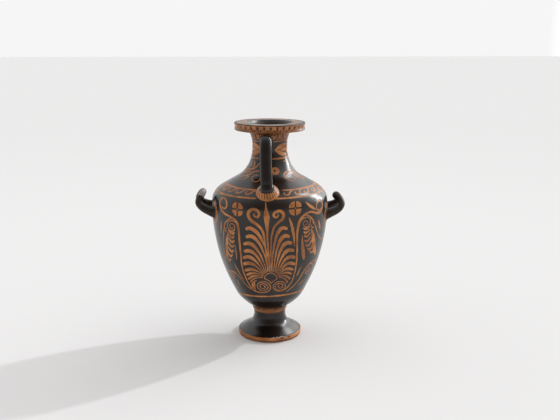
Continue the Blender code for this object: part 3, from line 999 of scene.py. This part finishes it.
def fillet(foot, ring, forward, count, pull):
    """Rings that leave the wall flat at the foot outline and meet the rod along its own direction.

    They follow a Hermite curve, whose ends pull harder the greater pull is.
    """
    normals = wall_normals(*spot(foot).T)
    leave = ring - foot
    span = np.linalg.norm(leave, axis=1, keepdims=True)
    leave = leave - normals * np.sum(leave * normals, axis=1, keepdims=True)
    leave /= np.maximum(np.linalg.norm(leave, axis=1, keepdims=True), 1e-6)
    rings = []
    for t in np.linspace(0.0, 1.0, count + 2)[1:-1]:
        a, b = 2 * t ** 3 - 3 * t ** 2 + 1, t ** 3 - 2 * t ** 2 + t
        c, d = -2 * t ** 3 + 3 * t ** 2, t ** 3 - t ** 2
        rings.append(a * foot + b * span * pull * leave + c * ring + d * span * pull * forward)
    return rings


def strap_parts():
    """Rings of the upright handle from the neck down to its collar, and its outline on the neck."""
    route = curve_through(STRAP_ROUTE, 9)
    radii = STRAP_R + STRAP_SWELL * np.linspace(0.0, 1.0, len(route)) ** 3
    route[:, 1] += STRAP_OFFSET
    rings, along = tube(route, radii, STRAP_SIDES, STRAP_SQUASH, (0.0, 1.0, 0.0), STRAP_POWER)
    rings = turned(rings, FRONT_AZIMUTH)
    along = turned(along, FRONT_AZIMUTH)
    route = turned(route, FRONT_AZIMUTH)
    first = int(np.argmax(clearance(rings).min(axis=1) > STRAP_FREE))
    wide = route[first] + (rings[first] - route[first]) * STRAP_FOOT
    foot = dropped(wide, -np.repeat(along[first][None], STRAP_SIDES, axis=0))
    start = fillet(foot, rings[first], along[first], *STRAP_FILLET)
    return foot, start, rings[first:], along[first:]


def collar_frame():
    """The collar's centre, and its axes down the slope, sideways and out of its top."""
    centre = turned(np.array([COLLAR_CENTRE[0], COLLAR_OFFSET, COLLAR_CENTRE[1]]), FRONT_AZIMUTH)
    down = turned(np.array([math.cos(COLLAR_TILT), 0.0, -math.sin(COLLAR_TILT)]), FRONT_AZIMUTH)
    side = turned(np.array([0.0, 1.0, 0.0]), FRONT_AZIMUTH)
    axis = turned(np.array([math.sin(COLLAR_TILT), 0.0, math.cos(COLLAR_TILT)]), FRONT_AZIMUTH)
    return centre, down, side, axis


def collar_parts(strap_ring, forward):
    """Rings of the flared collar, from the crease round the strap out to its outline on the shoulder."""
    centre, down, side, axis = collar_frame()
    flat = 0.55 * COLLAR_R
    profile = np.concatenate([[(0.0, COLLAR_H)], curve_through([
        (flat, COLLAR_H), (0.78 * COLLAR_R, 0.62 * COLLAR_H), (0.93 * COLLAR_R, 0.26 * COLLAR_H),
        (COLLAR_R, -0.6), (COLLAR_R - 0.5, -3.0), (COLLAR_R - 1.6, -6.0), (COLLAR_R - 2.4, -12.0),
    ], 12)])
    widest = int(np.argmax(profile[:, 0]))
    top, under = profile[:widest + 1], profile[widest:]

    def above(points):
        offset = points - centre
        reach = np.hypot(offset @ down, offset @ side)
        return offset @ axis - np.interp(reach, top[:, 0], top[:, 1])

    near, far = np.zeros(len(strap_ring)), np.full(len(strap_ring), COLLAR_SEARCH)
    for _ in range(HALVINGS):
        middle = 0.5 * (near + far)
        free = above(strap_ring + forward * middle[:, None]) > 0.0
        near, far = np.where(free, middle, near), np.where(free, far, middle)
    crease = strap_ring + forward * far[:, None] - centre
    crease = np.column_stack([crease @ down, crease @ side])
    middle = crease.mean(axis=0)
    first = math.atan2(crease[0, 1] - middle[1], crease[0, 0] - middle[0])
    second = math.atan2(crease[1, 1] - middle[1], crease[1, 0] - middle[0])
    way = math.copysign(1.0, math.sin(second - first))
    angles = first + way * 2.0 * math.pi * np.arange(len(crease)) / len(crease)
    outward = np.column_stack([np.cos(angles), np.sin(angles)])

    steps = []
    for t in np.linspace(0.0, 1.0, COLLAR_STEPS + 1):
        flat_spot = crease + (outward * top[-1, 0] - crease) * t
        height = np.interp(np.hypot(*flat_spot.T), top[:, 0], top[:, 1])
        steps.append(np.column_stack([flat_spot, height]))
    for reach, height in resampled(under, COLLAR_SPACING)[1:]:
        steps.append(np.column_stack([outward * reach, np.full(len(crease), height)]))
    steps = np.array(steps)
    surface = centre + steps[..., :1] * down + steps[..., 1:2] * side + steps[..., 2:] * axis
    end = np.argmax(clearance(surface) < COLLAR_MEETS, axis=0)
    columns = np.arange(len(crease))
    rings = [surface[np.round(end * share).astype(int), columns] for share in COLLAR_RINGS]
    inward = np.repeat(-axis[None], len(angles), axis=0)
    raised = rings[-1] + axis * COLLAR_LIFT + (rings[-1] - centre) * COLLAR_WIDER
    foot = dropped(raised, inward, COLLAR_DROP)
    return foot, rings


def loop_parts(mirror, root_height, rise, *bends):
    """Rings of a side handle from one root round to the other, and its two outlines on the wall."""
    def out(away):
        reach = BODY_R + away
        return reach * math.cos(LOOP_SPREAD), reach * math.sin(LOOP_SPREAD)

    half = [
        (*out(-2.3), 0.0), (*out(1.0), 0.01), (*out(5.0), 0.05), (106.0, 23.5, 0.17), (113.8, 20.5, 0.36),
    ]
    half += [(LOOP_REACH - short, half_spread, part) for short, half_spread, part in bends]
    route = [(x, -y, root_height + rise * part) for x, y, part in half]
    route += [(110.5, 0.0, root_height + rise)]
    route += [(x, y, root_height + rise * part) for x, y, part in reversed(half)]
    route = curve_through(route, 8)
    clear = np.maximum(0.0, np.hypot(route[:, 0], route[:, 1]) - BODY_R)
    radii = (
        LOOP_ROD_R + LOOP_SWELL * np.maximum(0.0, 1.0 - clear / LOOP_TAPER)
        + LOOP_FLARE * np.exp(-clear / FLARE_REACH)
    )
    if mirror == WORN_LOOP:
        worn = np.exp(-(route[:, 1] / WORN_REACH) ** 2)
        radii -= WORN_DEPTH * worn
        route[:, 0] -= WORN_DEPTH * worn
        route[:, 2] += WORN_DEPTH * worn
    route[:, 0] *= mirror
    rings, along = tube(route, radii, LOOP_SIDES, 1.0, (0.0, 0.0, 1.0))
    free = clearance(rings).min(axis=1) > LOOP_FREE
    first, last = int(np.argmax(free)), len(free) - 1 - int(np.argmax(free[::-1]))
    feet = []
    for index, way in ((first, -along[first]), (last, along[last])):
        wide = route[index] + (rings[index] - route[index]) * (LOOP_FOOT_R / radii[index])
        feet.append(dropped(wide, np.repeat(way[None], LOOP_SIDES, axis=0)))
    start = fillet(feet[0], rings[first], along[first], *LOOP_FILLET)
    end = fillet(feet[1], rings[last], -along[last], *LOOP_FILLET)
    return feet, start, rings[first:last + 1], end


for paint_part in (
    foot_and_ring, lip_band, base_line, wave_band, neck_bands, shoulder_tendrils, far_shoulder,
    handle_roots, front_panel, back_panel,
):
    paint_part()


# ---------------------------------------------------------------- the mesh

# A row is set where the profile has turned this much, or where a knot is nearly a step away. It is
# marked as a turn where the gap before it is small
ROW_TURN = math.radians(7.0)
NEARLY = 0.92
SHARP_GAP = 1.3


def rows_between(first, last, step):
    """Arc lengths of rows, close together where the profile turns and up to a step apart elsewhere.

    The second list marks the rows at a turn and the two ends.
    """
    knots = wall.arc[(wall.arc > first + 0.02) & (wall.arc < last - 0.02)]
    knots = np.concatenate([[first], knots, [last]])
    radius, height = wall.at(knots)
    heading = np.arctan2(np.diff(height), np.diff(radius))
    turn = np.abs(np.angle(np.exp(1j * np.diff(heading))))
    rows, sharp, bend = [first], [True], 0.0
    for index in range(1, len(knots)):
        gap = knots[index] - rows[-1]
        bend += turn[index - 1] if index - 1 < len(turn) else 0.0
        at_turn = bend > ROW_TURN
        if at_turn or gap > step * NEARLY or index == len(knots) - 1:
            pieces = max(1, math.ceil(gap / step))
            before = rows[-1]
            for piece in range(1, pieces + 1):
                rows.append(before + gap * piece / pieces)
                sharp.append(at_turn and gap < SHARP_GAP and piece == pieces)
            bend = 0.0
    sharp[-1] = True
    return np.array(rows), sharp


class Shell:
    """Vertices, faces and paints of the one closed surface."""

    def __init__(self):
        self.points, self.faces, self.paints = [], [], []
        self.known = {}

    def add_points(self, points, normals=None):
        first = len(self.points)
        self.points.extend(np.asarray(points, float))
        if normals is not None:
            for index, normal in enumerate(normals):
                self.known[first + index] = normal
        return np.arange(first, first + len(points))

    def add_face(self, face, paint):
        self.faces.append(tuple(int(index) for index in face))
        self.paints.append(int(paint))

    def bridge(self, low, high, paints, flip=False):
        """Quads between two closed rings of the same count, in one paint or one for each quad."""
        count = len(low)
        paints = np.broadcast_to(paints, count)
        for index in range(count):
            after = (index + 1) % count
            face = (low[index], low[after], high[after], high[index])
            self.add_face(face[::-1] if flip else face, paints[index])

    def zip_up(self, loop, loop_angles, ring, ring_angles, paint, outward):
        """Triangles between an uneven loop and a ring, each with its angles round a shared centre."""
        def ordered(indices, angles):
            angles = np.mod(angles, 2.0 * math.pi)
            order = np.argsort(angles)
            return [indices[i] for i in order], list(angles[order])

        loop, loop_angles = ordered(np.asarray(loop), np.asarray(loop_angles))
        ring, ring_angles = ordered(np.asarray(ring), np.asarray(ring_angles))
        a, b = 0, 0
        while a < len(loop) or b < len(ring):
            next_a = loop_angles[a + 1] if a + 1 < len(loop) else loop_angles[0] + 2.0 * math.pi
            next_b = ring_angles[b + 1] if b + 1 < len(ring) else ring_angles[0] + 2.0 * math.pi
            if b >= len(ring) or (a < len(loop) and next_a <= next_b):
                face = (loop[a % len(loop)], loop[(a + 1) % len(loop)], ring[b % len(ring)])
                a += 1
            else:
                face = (loop[a % len(loop)], ring[(b + 1) % len(ring)], ring[b % len(ring)])
                b += 1
            p, q, r = (self.points[index] for index in face)
            if np.dot(np.cross(q - p, r - p), outward) < 0.0:
                face = face[::-1]
            self.add_face(face, paint)


def winding(points, outline):
    """Winding number of an outline round each point."""
    x, y = outline[:, 0], outline[:, 1]
    x2, y2 = np.roll(x, -1), np.roll(y, -1)
    px, py = points[:, :1], points[:, 1:]
    side = (x2 - x) * (py - y) - (px - x) * (y2 - y)
    up = (y <= py) & (y2 > py) & (side > 0.0)
    down = (y > py) & (y2 <= py) & (side < 0.0)
    return up.sum(axis=1) - down.sum(axis=1)


def chart_of(outline):
    """Outline of (azimuth, arc) in the flat chart, on the seam's own turn."""
    azimuth = outline[:, 0] - 360.0 * math.floor((outline[:, 0].mean() - SEAM_AZIMUTH) / 360.0)
    return np.column_stack([np.radians(azimuth), wall.to_chart(outline[:, 1])])


# Tolerances in the chart: a point on the seam, the match of its two sides, a point on a row, a face
# without area. The margin beside the seam is in radians, over the count of columns
ON_SEAM = 1e-5
SEAM_MATCH = 1e-4
ON_ROW = 1e-6
NO_AREA = 1e-12
SEAM_MARGIN = 0.3


def paint_wall(shell, outlines_of_feet):
    """Triangulate the outer wall round the painted shapes and the handles' feet.

    Returns the lowest and the highest row of the wall.
    """
    left, right = math.radians(SEAM_AZIMUTH), math.radians(SEAM_AZIMUTH + 360.0)
    points, edges = [], []

    def add_loop(outline, closed=True):
        first = len(points)
        points.extend(map(tuple, outline))
        count = len(outline)
        edges.extend((first + i, first + (i + 1) % count) for i in range(count if closed else count - 1))

    shapes = [(chart_of(outline), paint) for outline, paint in painting.shapes]
    shapes += [(chart_of(outline), OPENING) for outline in outlines_of_feet]
    for outline, _ in shapes:
        add_loop(outline)
    drawn = np.array(points)
    tree = KDTree(len(drawn))
    for index, (u, v) in enumerate(drawn):
        tree.insert((u, v, 0.0), index)
    tree.balance()

    rows, sharp = rows_between(wall.low, wall.high, WALL_STEP)
    for index, (arc, at_turn) in enumerate(zip(rows, sharp)):
        radius = float(wall.at(arc)[0])
        level = float(wall.to_chart(arc))
        if at_turn:
            across = np.linspace(left, right, RING_COLUMNS + 1)
            add_loop(np.column_stack([across, np.full(len(across), level)]), closed=False)
            continue
        columns = max(LEAST_COLUMNS, int(round(2.0 * math.pi * radius / WALL_STEP)))
        shift = (0.5 if index % 2 else 0.0) / columns * 2.0 * math.pi
        across = left + shift + np.arange(columns + 1) / columns * 2.0 * math.pi
        margin = SEAM_MARGIN / columns
        for u in across[(across > left + margin) & (across < right - margin)]:
            _, _, gap = tree.find((u, level, 0.0))
            if gap * radius > CLEARANCE:
                points.append((u, level))
        points.extend([(left, level), (right, level)])

    verts, _, faces, _, _, _ = delaunay_2d_cdt([Vector(p) for p in points], edges, [], 0, 1e-6, False)
    verts = np.array([tuple(v) for v in verts])
    faces = np.array([tuple(f) for f in faces])
    a, b, c = verts[faces[:, 0]], verts[faces[:, 1]], verts[faces[:, 2]]
    area = (b[:, 0] - a[:, 0]) * (c[:, 1] - a[:, 1]) - (b[:, 1] - a[:, 1]) * (c[:, 0] - a[:, 0])
    faces[area < 0.0] = faces[area < 0.0][:, ::-1]
    faces = faces[np.abs(area) > NO_AREA]
    middles = verts[faces].mean(axis=1)

    paints = np.full(len(faces), GLOSS)
    for outline, paint in shapes:
        low, high = outline.min(axis=0), outline.max(axis=0)
        near = np.flatnonzero(((middles >= low) & (middles <= high)).all(axis=1))
        inside = winding(middles[near], outline) != 0
        paints[near[inside]] = paint
    faces, paints = faces[paints != OPENING], paints[paints != OPENING]

    def on_side(u):
        side = np.flatnonzero(np.abs(verts[:, 0] - u) < ON_SEAM)
        return side[np.argsort(verts[side, 1])]

    on_left, on_right = on_side(left), on_side(right)
    matched = len(on_left) == len(on_right)
    if not matched or np.abs(verts[on_left, 1] - verts[on_right, 1]).max() > SEAM_MATCH:
        raise ValueError("the two sides of the seam don't match")
    same = np.arange(len(verts))
    same[on_right] = on_left
    faces = same[faces]

    used = np.unique(faces)
    azimuth, arc = np.degrees(verts[used, 0]), wall.to_arc(verts[used, 1])
    indices = shell.add_points(on_wall(azimuth, arc), wall_normals(azimuth, arc))
    renumber = np.zeros(len(verts), int)
    renumber[used] = indices
    for face, paint in zip(renumber[faces], paints):
        shell.add_face(face, paint)

    def end_row(level):
        row = used[np.abs(verts[used, 1] - wall.to_chart(level)) < ON_ROW]
        return renumber[row[np.argsort(verts[row, 0])]]

    return end_row(wall.low), end_row(wall.high)


def boundary_loops(shell):
    """Closed loops of edges that have a face on one side only."""
    edges = dict.fromkeys((a, b) for face in shell.faces for a, b in zip(face, face[1:] + face[:1]))
    rim = [(a, b) for a, b in edges if (b, a) not in edges]
    follow = dict(rim)
    twice = len(rim) - len(follow)
    if twice:
        raise ValueError(f"{twice} open edges start where another one does")
    loops = []
    while follow:
        start, step = follow.popitem()
        loop = [start]
        while step != start:
            loop.append(step)
            step = follow.pop(step)
        loops.append(loop)
    return loops


def lathe(shell, first_row, arcs, paint, axis_height):
    """Carry a row of the wall along the rest of the profile and close it on the axis."""
    previous = first_row
    azimuth = SEAM_AZIMUTH + np.arange(RING_COLUMNS) / RING_COLUMNS * 360.0
    going_up = arcs[-1] > arcs[0]
    for arc in arcs:
        level = np.full(RING_COLUMNS, arc)
        row = shell.add_points(on_wall(azimuth, level), wall_normals(azimuth, level))
        shell.bridge(previous, row, paint, flip=not going_up)
        previous = row
    centre = shell.add_points([[0.0, 0.0, axis_height]])[0]
    for index in range(RING_COLUMNS):
        face = (previous[index], previous[(index + 1) % RING_COLUMNS], centre)
        shell.add_face(face if going_up else face[::-1], paint)


def stitch(shell, loop, foot, ring, paint):
    """Join the hole a foot left in the wall to the first ring above it."""
    centre = foot.mean(axis=0)
    around, level = spot(centre[None])[0]
    outward = wall_normals(around, level)
    east = np.array([math.cos(math.radians(around)), math.sin(math.radians(around)), 0.0])
    north = np.cross(outward, east)

    def angles(points):
        offset = np.asarray(points) - centre
        return np.arctan2(offset @ north, offset @ east)

    loop_points = [shell.points[index] for index in loop]
    shell.zip_up(loop, angles(loop_points), ring, angles(foot), paint, outward)


# The collar's dark part, in ranks of faces out from the strap: black all round, how much further it
# reaches on the lower side, and the dark tongues, one for so many sides of the strap
BLACK_RANKS = 2.6
BLACK_RANKS_BELOW = 2.0
TONGUE_RANKS = 10
TONGUE_SPACING = 4


def tip_highlight_paints(shell, ring, top):
    """Paints of a ring of quads on the worn loop, a painted highlight where high up and facing the front."""
    points = np.array([shell.points[index] for index in ring])
    centre = points.mean(axis=0)
    out = points - centre
    facing = -out[:, 1] / np.linalg.norm(out, axis=1)
    # painted highlight: pale paint where the tip faces the front
    worn = (facing > HIGHLIGHT_FACING) & (centre[2] > top) & (centre[1] < 0.0)
    return np.where(worn, WORN_AND_HIGHLIGHT, MATT)


def build_jar():
    """The whole surface: the wall, the inside, the hollow under the foot and the handles."""
    shell = Shell()
    strap_foot, strap_start, strap_rings, strap_along = strap_parts()
    centre, down, side, axis = collar_frame()
    heights = ((strap_rings - centre) @ axis).min(axis=1)
    keep = int(np.argmax(heights < COLLAR_H + STRAP_END))
    collar_foot, collar_rings = collar_parts(strap_rings[keep], strap_along[keep])
    loops = [loop_parts(*loop) for loop in LOOPS]

    feet = [strap_foot, collar_foot] + [foot for loop in loops for foot in loop[0]]
    low_row, high_row = paint_wall(shell, [spot(foot) for foot in feet])
    ends = set(low_row.tolist()) | set(high_row.tolist())
    holes = [loop for loop in boundary_loops(shell) if not set(loop) & ends]
    if len(holes) != len(feet):
        raise ValueError(f"{len(holes)} openings in the wall for {len(feet)} handle feet")
    middles = np.array([np.mean([shell.points[i] for i in hole], axis=0) for hole in holes])

    def hole_of(foot):
        return holes[int(np.argmin(np.linalg.norm(middles - foot.mean(axis=0), axis=1)))]

    under, _ = rows_between(wall.start, wall.low, UNDER_STEP)
    lathe(shell, low_row[:RING_COLUMNS], under[::-1][1:-1], CLAY, wall.z[0])
    inner, _ = rows_between(wall.high, wall.end, INNER_STEP)
    lathe(shell, high_row[:RING_COLUMNS], inner[1:-1], MATT, wall.z[-1])

    # Upright handle, then its collar
    rings = [shell.add_points(ring) for ring in list(strap_start) + list(strap_rings[:keep + 1])]
    stitch(shell, hole_of(strap_foot), strap_foot, rings[0], GLOSS)
    for low, high in zip(rings, rings[1:]):
        shell.bridge(low, high, GLOSS)
    skirt = [shell.add_points(ring) for ring in collar_rings]
    shell.bridge(rings[-1], skirt[0], GLOSS)
    tongue = np.arange(STRAP_SIDES) % TONGUE_SPACING == 0
    spokes = collar_rings[-1] - centre
    downward = spokes @ down / np.hypot(spokes @ down, spokes @ side)
    black_ranks = BLACK_RANKS + BLACK_RANKS_BELOW * np.clip(downward, 0.0, 1.0)
    for rank, (low, high) in enumerate(zip(skirt, skirt[1:])):
        black = tongue & (rank < TONGUE_RANKS) | (rank < black_ranks)
        shell.bridge(low, high, np.where(black, GLOSS, CLAY))
    stitch(shell, hole_of(collar_foot), collar_foot, skirt[-1], GLOSS)

    for (mirror, root_height, rise, *_), (foot_pair, start, body, end) in zip(LOOPS, loops):
        rings = [shell.add_points(ring) for ring in list(start) + list(body) + list(end[::-1])]
        for foot, ring in zip(foot_pair, (rings[0], rings[-1])):
            stitch(shell, hole_of(foot), foot, ring, BROWN)
        for low, high in zip(rings, rings[1:]):
            paints = MATT
            # the worn loop's tip carries a painted highlight
            if mirror == WORN_LOOP:
                paints = tip_highlight_paints(shell, low, root_height + HIGHLIGHT_RISE * rise)
            shell.bridge(low, high, paints)
    return shell


def make_piece(shell, name, materials):
    """Turn the shell into an object in metres, with true normals on the turned wall."""
    points = np.array(shell.points)
    mesh = bpy.data.meshes.new(name)
    mesh.from_pydata((points * MM).tolist(), [], shell.faces)
    for material in materials:
        mesh.materials.append(material)
    mesh.polygons.foreach_set("material_index", shell.paints)
    mesh.update()
    work = bmesh.new()
    work.from_mesh(mesh)
    bmesh.ops.recalc_face_normals(work, faces=work.faces)
    work.to_mesh(mesh)
    work.free()
    mesh.shade_smooth()
    normals = np.empty(len(points) * 3)
    mesh.vertices.foreach_get("normal", normals)
    normals = normals.reshape(-1, 3)
    known = np.array(list(shell.known))
    normals[known] = np.array([shell.known[index] for index in known])
    mesh.normals_split_custom_set_from_vertices(normals.tolist())
    piece = bpy.data.objects.new(name, mesh)
    bpy.context.scene.collection.objects.link(piece)
    return piece


# ---------------------------------------------------------------- materials

class Graph:
    """The node tree of a material or world, where each step returns its output socket."""

    def __init__(self, owner):
        owner.use_nodes = True
        self.nodes, self.links = owner.node_tree.nodes, owner.node_tree.links

    def fill(self, node, inputs):
        """Set each named input to a value, or wire it to an output."""
        for name, value in inputs.items():
            if isinstance(value, bpy.types.NodeSocket):
                self.links.new(value, node.inputs[name])
            else:
                node.inputs[name].default_value = value

    def place(self, kind):
        return self.nodes.new("ShaderNodeTexCoord").outputs[kind]

    def noise(self, place, scale, detail=2.0, roughness=0.5):
        node = self.nodes.new("ShaderNodeTexNoise")
        self.fill(node, {"Vector": place, "Scale": scale, "Detail": detail, "Roughness": roughness})
        return node.outputs["Fac"]

    def ranged(self, value, start, end, low=0.0, high=1.0, smooth=False):
        """Carry a value from the range start to end over to the range low to high."""
        node = self.nodes.new("ShaderNodeMapRange")
        if smooth:
            node.interpolation_type = "SMOOTHSTEP"
        self.fill(node, {"Value": value, "From Min": start, "From Max": end, "To Min": low, "To Max": high})
        return node.outputs["Result"]

    def ramp(self, value, stops):
        """Colours along a value, each stop a position with a colour or a grey level."""
        node = self.nodes.new("ShaderNodeValToRGB")
        elements = node.color_ramp.elements
        while len(elements) < len(stops):
            elements.new(0.5)
        for element, (position, tone) in zip(elements, stops):
            element.position = position
            element.color = (*np.broadcast_to(tone, 3), 1.0)
        self.fill(node, {"Fac": value})
        return node.outputs["Color"]

    def mixed(self, share, first, second):
        node = self.nodes.new("ShaderNodeMix")
        node.data_type = "RGBA"
        self.fill(node, {"Factor": share, "A": first, "B": second})
        return node.outputs["Result"]

    def vector(self, operation, *inputs, output="Vector"):
        node = self.nodes.new("ShaderNodeVectorMath")
        node.operation = operation
        self.fill(node, dict(enumerate(inputs)))
        return node.outputs[output]


# Where the noise starts and ends the change between the two tones, the scale of the rubbed spots,
# and the scale, strength and depth in metres of the grain
TONE_LOW, TONE_HIGH = 0.38, 0.64
RUB_SCALE = 45.0
GRAIN_SCALE = 900.0
GRAIN_STRENGTH = 0.05
GRAIN_DEPTH = 0.0004


def clay_material(name, low, high, roughness, scale, specular=0.5, flecks=None):
    """Fired surface whose colour drifts between two tones, with a faint grain.

    flecks is the colour, the share from 0 to 1 and the scale of small worn spots.
    """
    material = bpy.data.materials.new(name)
    graph = Graph(material)
    shader = graph.nodes["Principled BSDF"]
    shader.inputs["Specular IOR Level"].default_value = specular
    place = graph.place("Object")
    colour = graph.ramp(graph.noise(place, scale, 5.0), ((TONE_LOW, low), (TONE_HIGH, high)))
    if flecks:
        tone, share, fineness = flecks
        spots = graph.noise(place, fineness, 6.0, 0.7)
        cover = graph.ranged(spots, 0.68 - 0.2 * share, 0.76 - 0.2 * share, smooth=True)
        colour = graph.mixed(cover, colour, (*tone, 1.0))
    rubbed = graph.noise(place, RUB_SCALE, 1.0)
    polish = graph.ranged(rubbed, 0.3, 0.7, roughness * 0.8, roughness * 1.2)
    bump = graph.nodes.new("ShaderNodeBump")
    grain = graph.noise(place, GRAIN_SCALE)
    graph.fill(bump, {"Strength": GRAIN_STRENGTH, "Distance": GRAIN_DEPTH, "Height": grain})
    graph.fill(shader, {"Base Color": colour, "Roughness": polish, "Normal": bump.outputs["Normal"]})
    return material


# In the order of the paints
FINISHES = [
    clay_material("black_gloss", (0.0036, 0.0028, 0.0026), (0.0135, 0.0068, 0.0042), 0.23, 30.0,
                  flecks=((0.04, 0.02, 0.011), 0.3, 170.0)),
    clay_material("reserved_clay", (0.31, 0.112, 0.03), (0.56, 0.225, 0.072), 0.46, 60.0, 0.3,
                  flecks=((0.17, 0.065, 0.024), 0.4, 210.0)),
    clay_material("brown_wash", (0.14, 0.05, 0.015), (0.3, 0.118, 0.04), 0.36, 90.0, 0.35),
    # pale grey for worn spots, also used for painted highlights
    clay_material("worn_slip_and_highlight", (0.26, 0.225, 0.22), (0.42, 0.38, 0.385), 0.5, 60.0),
    clay_material("dusty_clay", (0.12, 0.07, 0.045), (0.28, 0.18, 0.13), 0.45, 70.0),
    clay_material("matt_slip", (0.006, 0.004, 0.003), (0.034, 0.018, 0.011), 0.46, 130.0, 0.3,
                  flecks=((0.09, 0.045, 0.024), 0.3, 240.0)),
]
vase = make_piece(build_jar(), "hydria_vase", FINISHES)
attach(vase, "root")
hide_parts("hydria")


# ---------------------------------------------------------------- floor, light and camera

FLOOR_HALF = 20.0
FLOOR_NEAR = (0.737, 0.739, 0.742)
FLOOR_FAR = (0.7, 0.703, 0.706)
# Distances from the jar over which the floor changes from the near to the far tone
FLOOR_FADE = (0.5, 3.0)

# Brightness of the room by direction: along each axis, from -1 to 1
DEPTH_LIGHT = ((-1.0, (0.25, 0.21, 0.19)), (-0.6, (0.33, 0.29, 0.27)), (0.0, 0.86), (0.6, 1.0))
SIDE_LIGHT = ((-1.0, 1.3), (-0.5, 1.25), (-0.4, 1.0), (0.4, 1.0), (0.48, 2.0), (0.7, 1.8), (1.0, 1.3))
LIFT_LIGHT = ((-1.0, 0.9), (0.1, 1.0), (0.6, 1.0), (1.0, 1.25))
WORLD_STRENGTH = 0.93
# The bright window of the room: azimuth, elevation, inner and outer half angle, added brightness
WINDOW = (126.0, 30.0, 8.0, 36.0, 1.1)

# Azimuth, elevation and width in degrees, and strength, of the key lamp and of the sheen lamps,
# which only show in the gloss
KEY = (117.5, 30.0, 2.0, 1.15)
SHEEN = ((118.0, 13.0, 17.0, 1.0), (118.0, 30.0, 17.0, 0.9), (118.0, 47.0, 17.0, 0.6))

# The camera stands on the jar's front azimuth: lens and sensor in millimetres, sideways shift as a
# share of the sensor, pitch in degrees below level, distance and height in metres
CAMERA_LENS = 48.1
CAMERA_SENSOR = 36.0
CAMERA_SHIFT = 0.0183
CAMERA_PITCH = 12.9
CAMERA_DISTANCE = 1.2112
CAMERA_HEIGHT = 0.4912

scene = bpy.context.scene
scene.view_settings.view_transform = "Standard"


def plain_floor():
    """A pale floor, darker far from the jar."""
    half = FLOOR_HALF
    corners = [(-half, -half, 0.0), (half, -half, 0.0), (half, half, 0.0), (-half, half, 0.0)]
    mesh = bpy.data.meshes.new("floor")
    mesh.from_pydata(corners, [], [(0, 1, 2, 3)])
    material = bpy.data.materials.new("pale_floor")
    graph = Graph(material)
    away = graph.vector("LENGTH", graph.place("Object"), output="Value")
    fade = graph.ranged(away, *FLOOR_FADE, smooth=True)
    tone = graph.mixed(fade, (*FLOOR_NEAR, 1.0), (*FLOOR_FAR, 1.0))
    shader = graph.nodes["Principled BSDF"]
    graph.fill(shader, {"Base Color": tone, "Roughness": 1.0})
    shader.inputs["Specular IOR Level"].default_value = 0.0
    mesh.materials.append(material)
    floor = bpy.data.objects.new("floor", mesh)
    scene.collection.objects.link(floor)
    return floor


floor = plain_floor()


def direction(azimuth, elevation):
    """Unit vector toward an azimuth and an elevation in degrees."""
    turn, lift = math.radians(azimuth), math.radians(elevation)
    return Vector((math.sin(turn) * math.cos(lift), -math.cos(turn) * math.cos(lift), math.sin(lift)))


def studio_world():
    """A white room, darkest on the viewer's side and brightest to the jar's right."""
    world = bpy.data.worlds.new("studio")
    graph = Graph(world)
    place = graph.place("Generated")
    parts = graph.nodes.new("ShaderNodeSeparateXYZ")
    graph.fill(parts, {"Vector": place})
    total = None
    for axis, stops in (("Y", DEPTH_LIGHT), ("X", SIDE_LIGHT), ("Z", LIFT_LIGHT)):
        along = graph.ranged(parts.outputs[axis], -1.0, 1.0)
        light = graph.ramp(along, [(0.5 + 0.5 * position, level) for position, level in stops])
        total = light if total is None else graph.vector("MULTIPLY", total, light)
    azimuth, elevation, inner, outer, level = WINDOW
    near = graph.vector("DOT_PRODUCT", place, direction(azimuth, elevation), output="Value")
    edge, middle = math.cos(math.radians(outer)), math.cos(math.radians(inner))
    glow = graph.ranged(near, edge, middle, 0.0, level, smooth=True)
    whole = graph.vector("ADD", total, glow)
    graph.fill(graph.nodes["Background"], {"Color": whole, "Strength": WORLD_STRENGTH})
    scene.world = world


studio_world()


def sun(name, azimuth, elevation, angle, strength):
    """A distant lamp that is angle degrees wide."""
    lamp = bpy.data.lights.new(name, "SUN")
    lamp.angle = math.radians(angle)
    lamp.energy = strength
    light = bpy.data.objects.new(name, lamp)
    away = direction(azimuth, elevation)
    light.location = away * 3.0
    light.rotation_euler = away.to_track_quat("Z", "Y").to_euler()
    scene.collection.objects.link(light)
    return light


sun("key", *KEY).visible_glossy = False
for sheen in SHEEN:
    sun("sheen", *sheen).visible_diffuse = False

camera_data = bpy.data.cameras.new("camera")
camera_data.lens = CAMERA_LENS
camera_data.sensor_width = CAMERA_SENSOR
camera_data.shift_x = CAMERA_SHIFT
camera = bpy.data.objects.new("camera", camera_data)
turn = math.radians(FRONT_AZIMUTH)
camera.location = (CAMERA_DISTANCE * math.sin(turn), -CAMERA_DISTANCE * math.cos(turn), CAMERA_HEIGHT)
camera.rotation_euler = (math.radians(90.0 - CAMERA_PITCH), 0.0, turn)
scene.collection.objects.link(camera)
scene.camera = camera
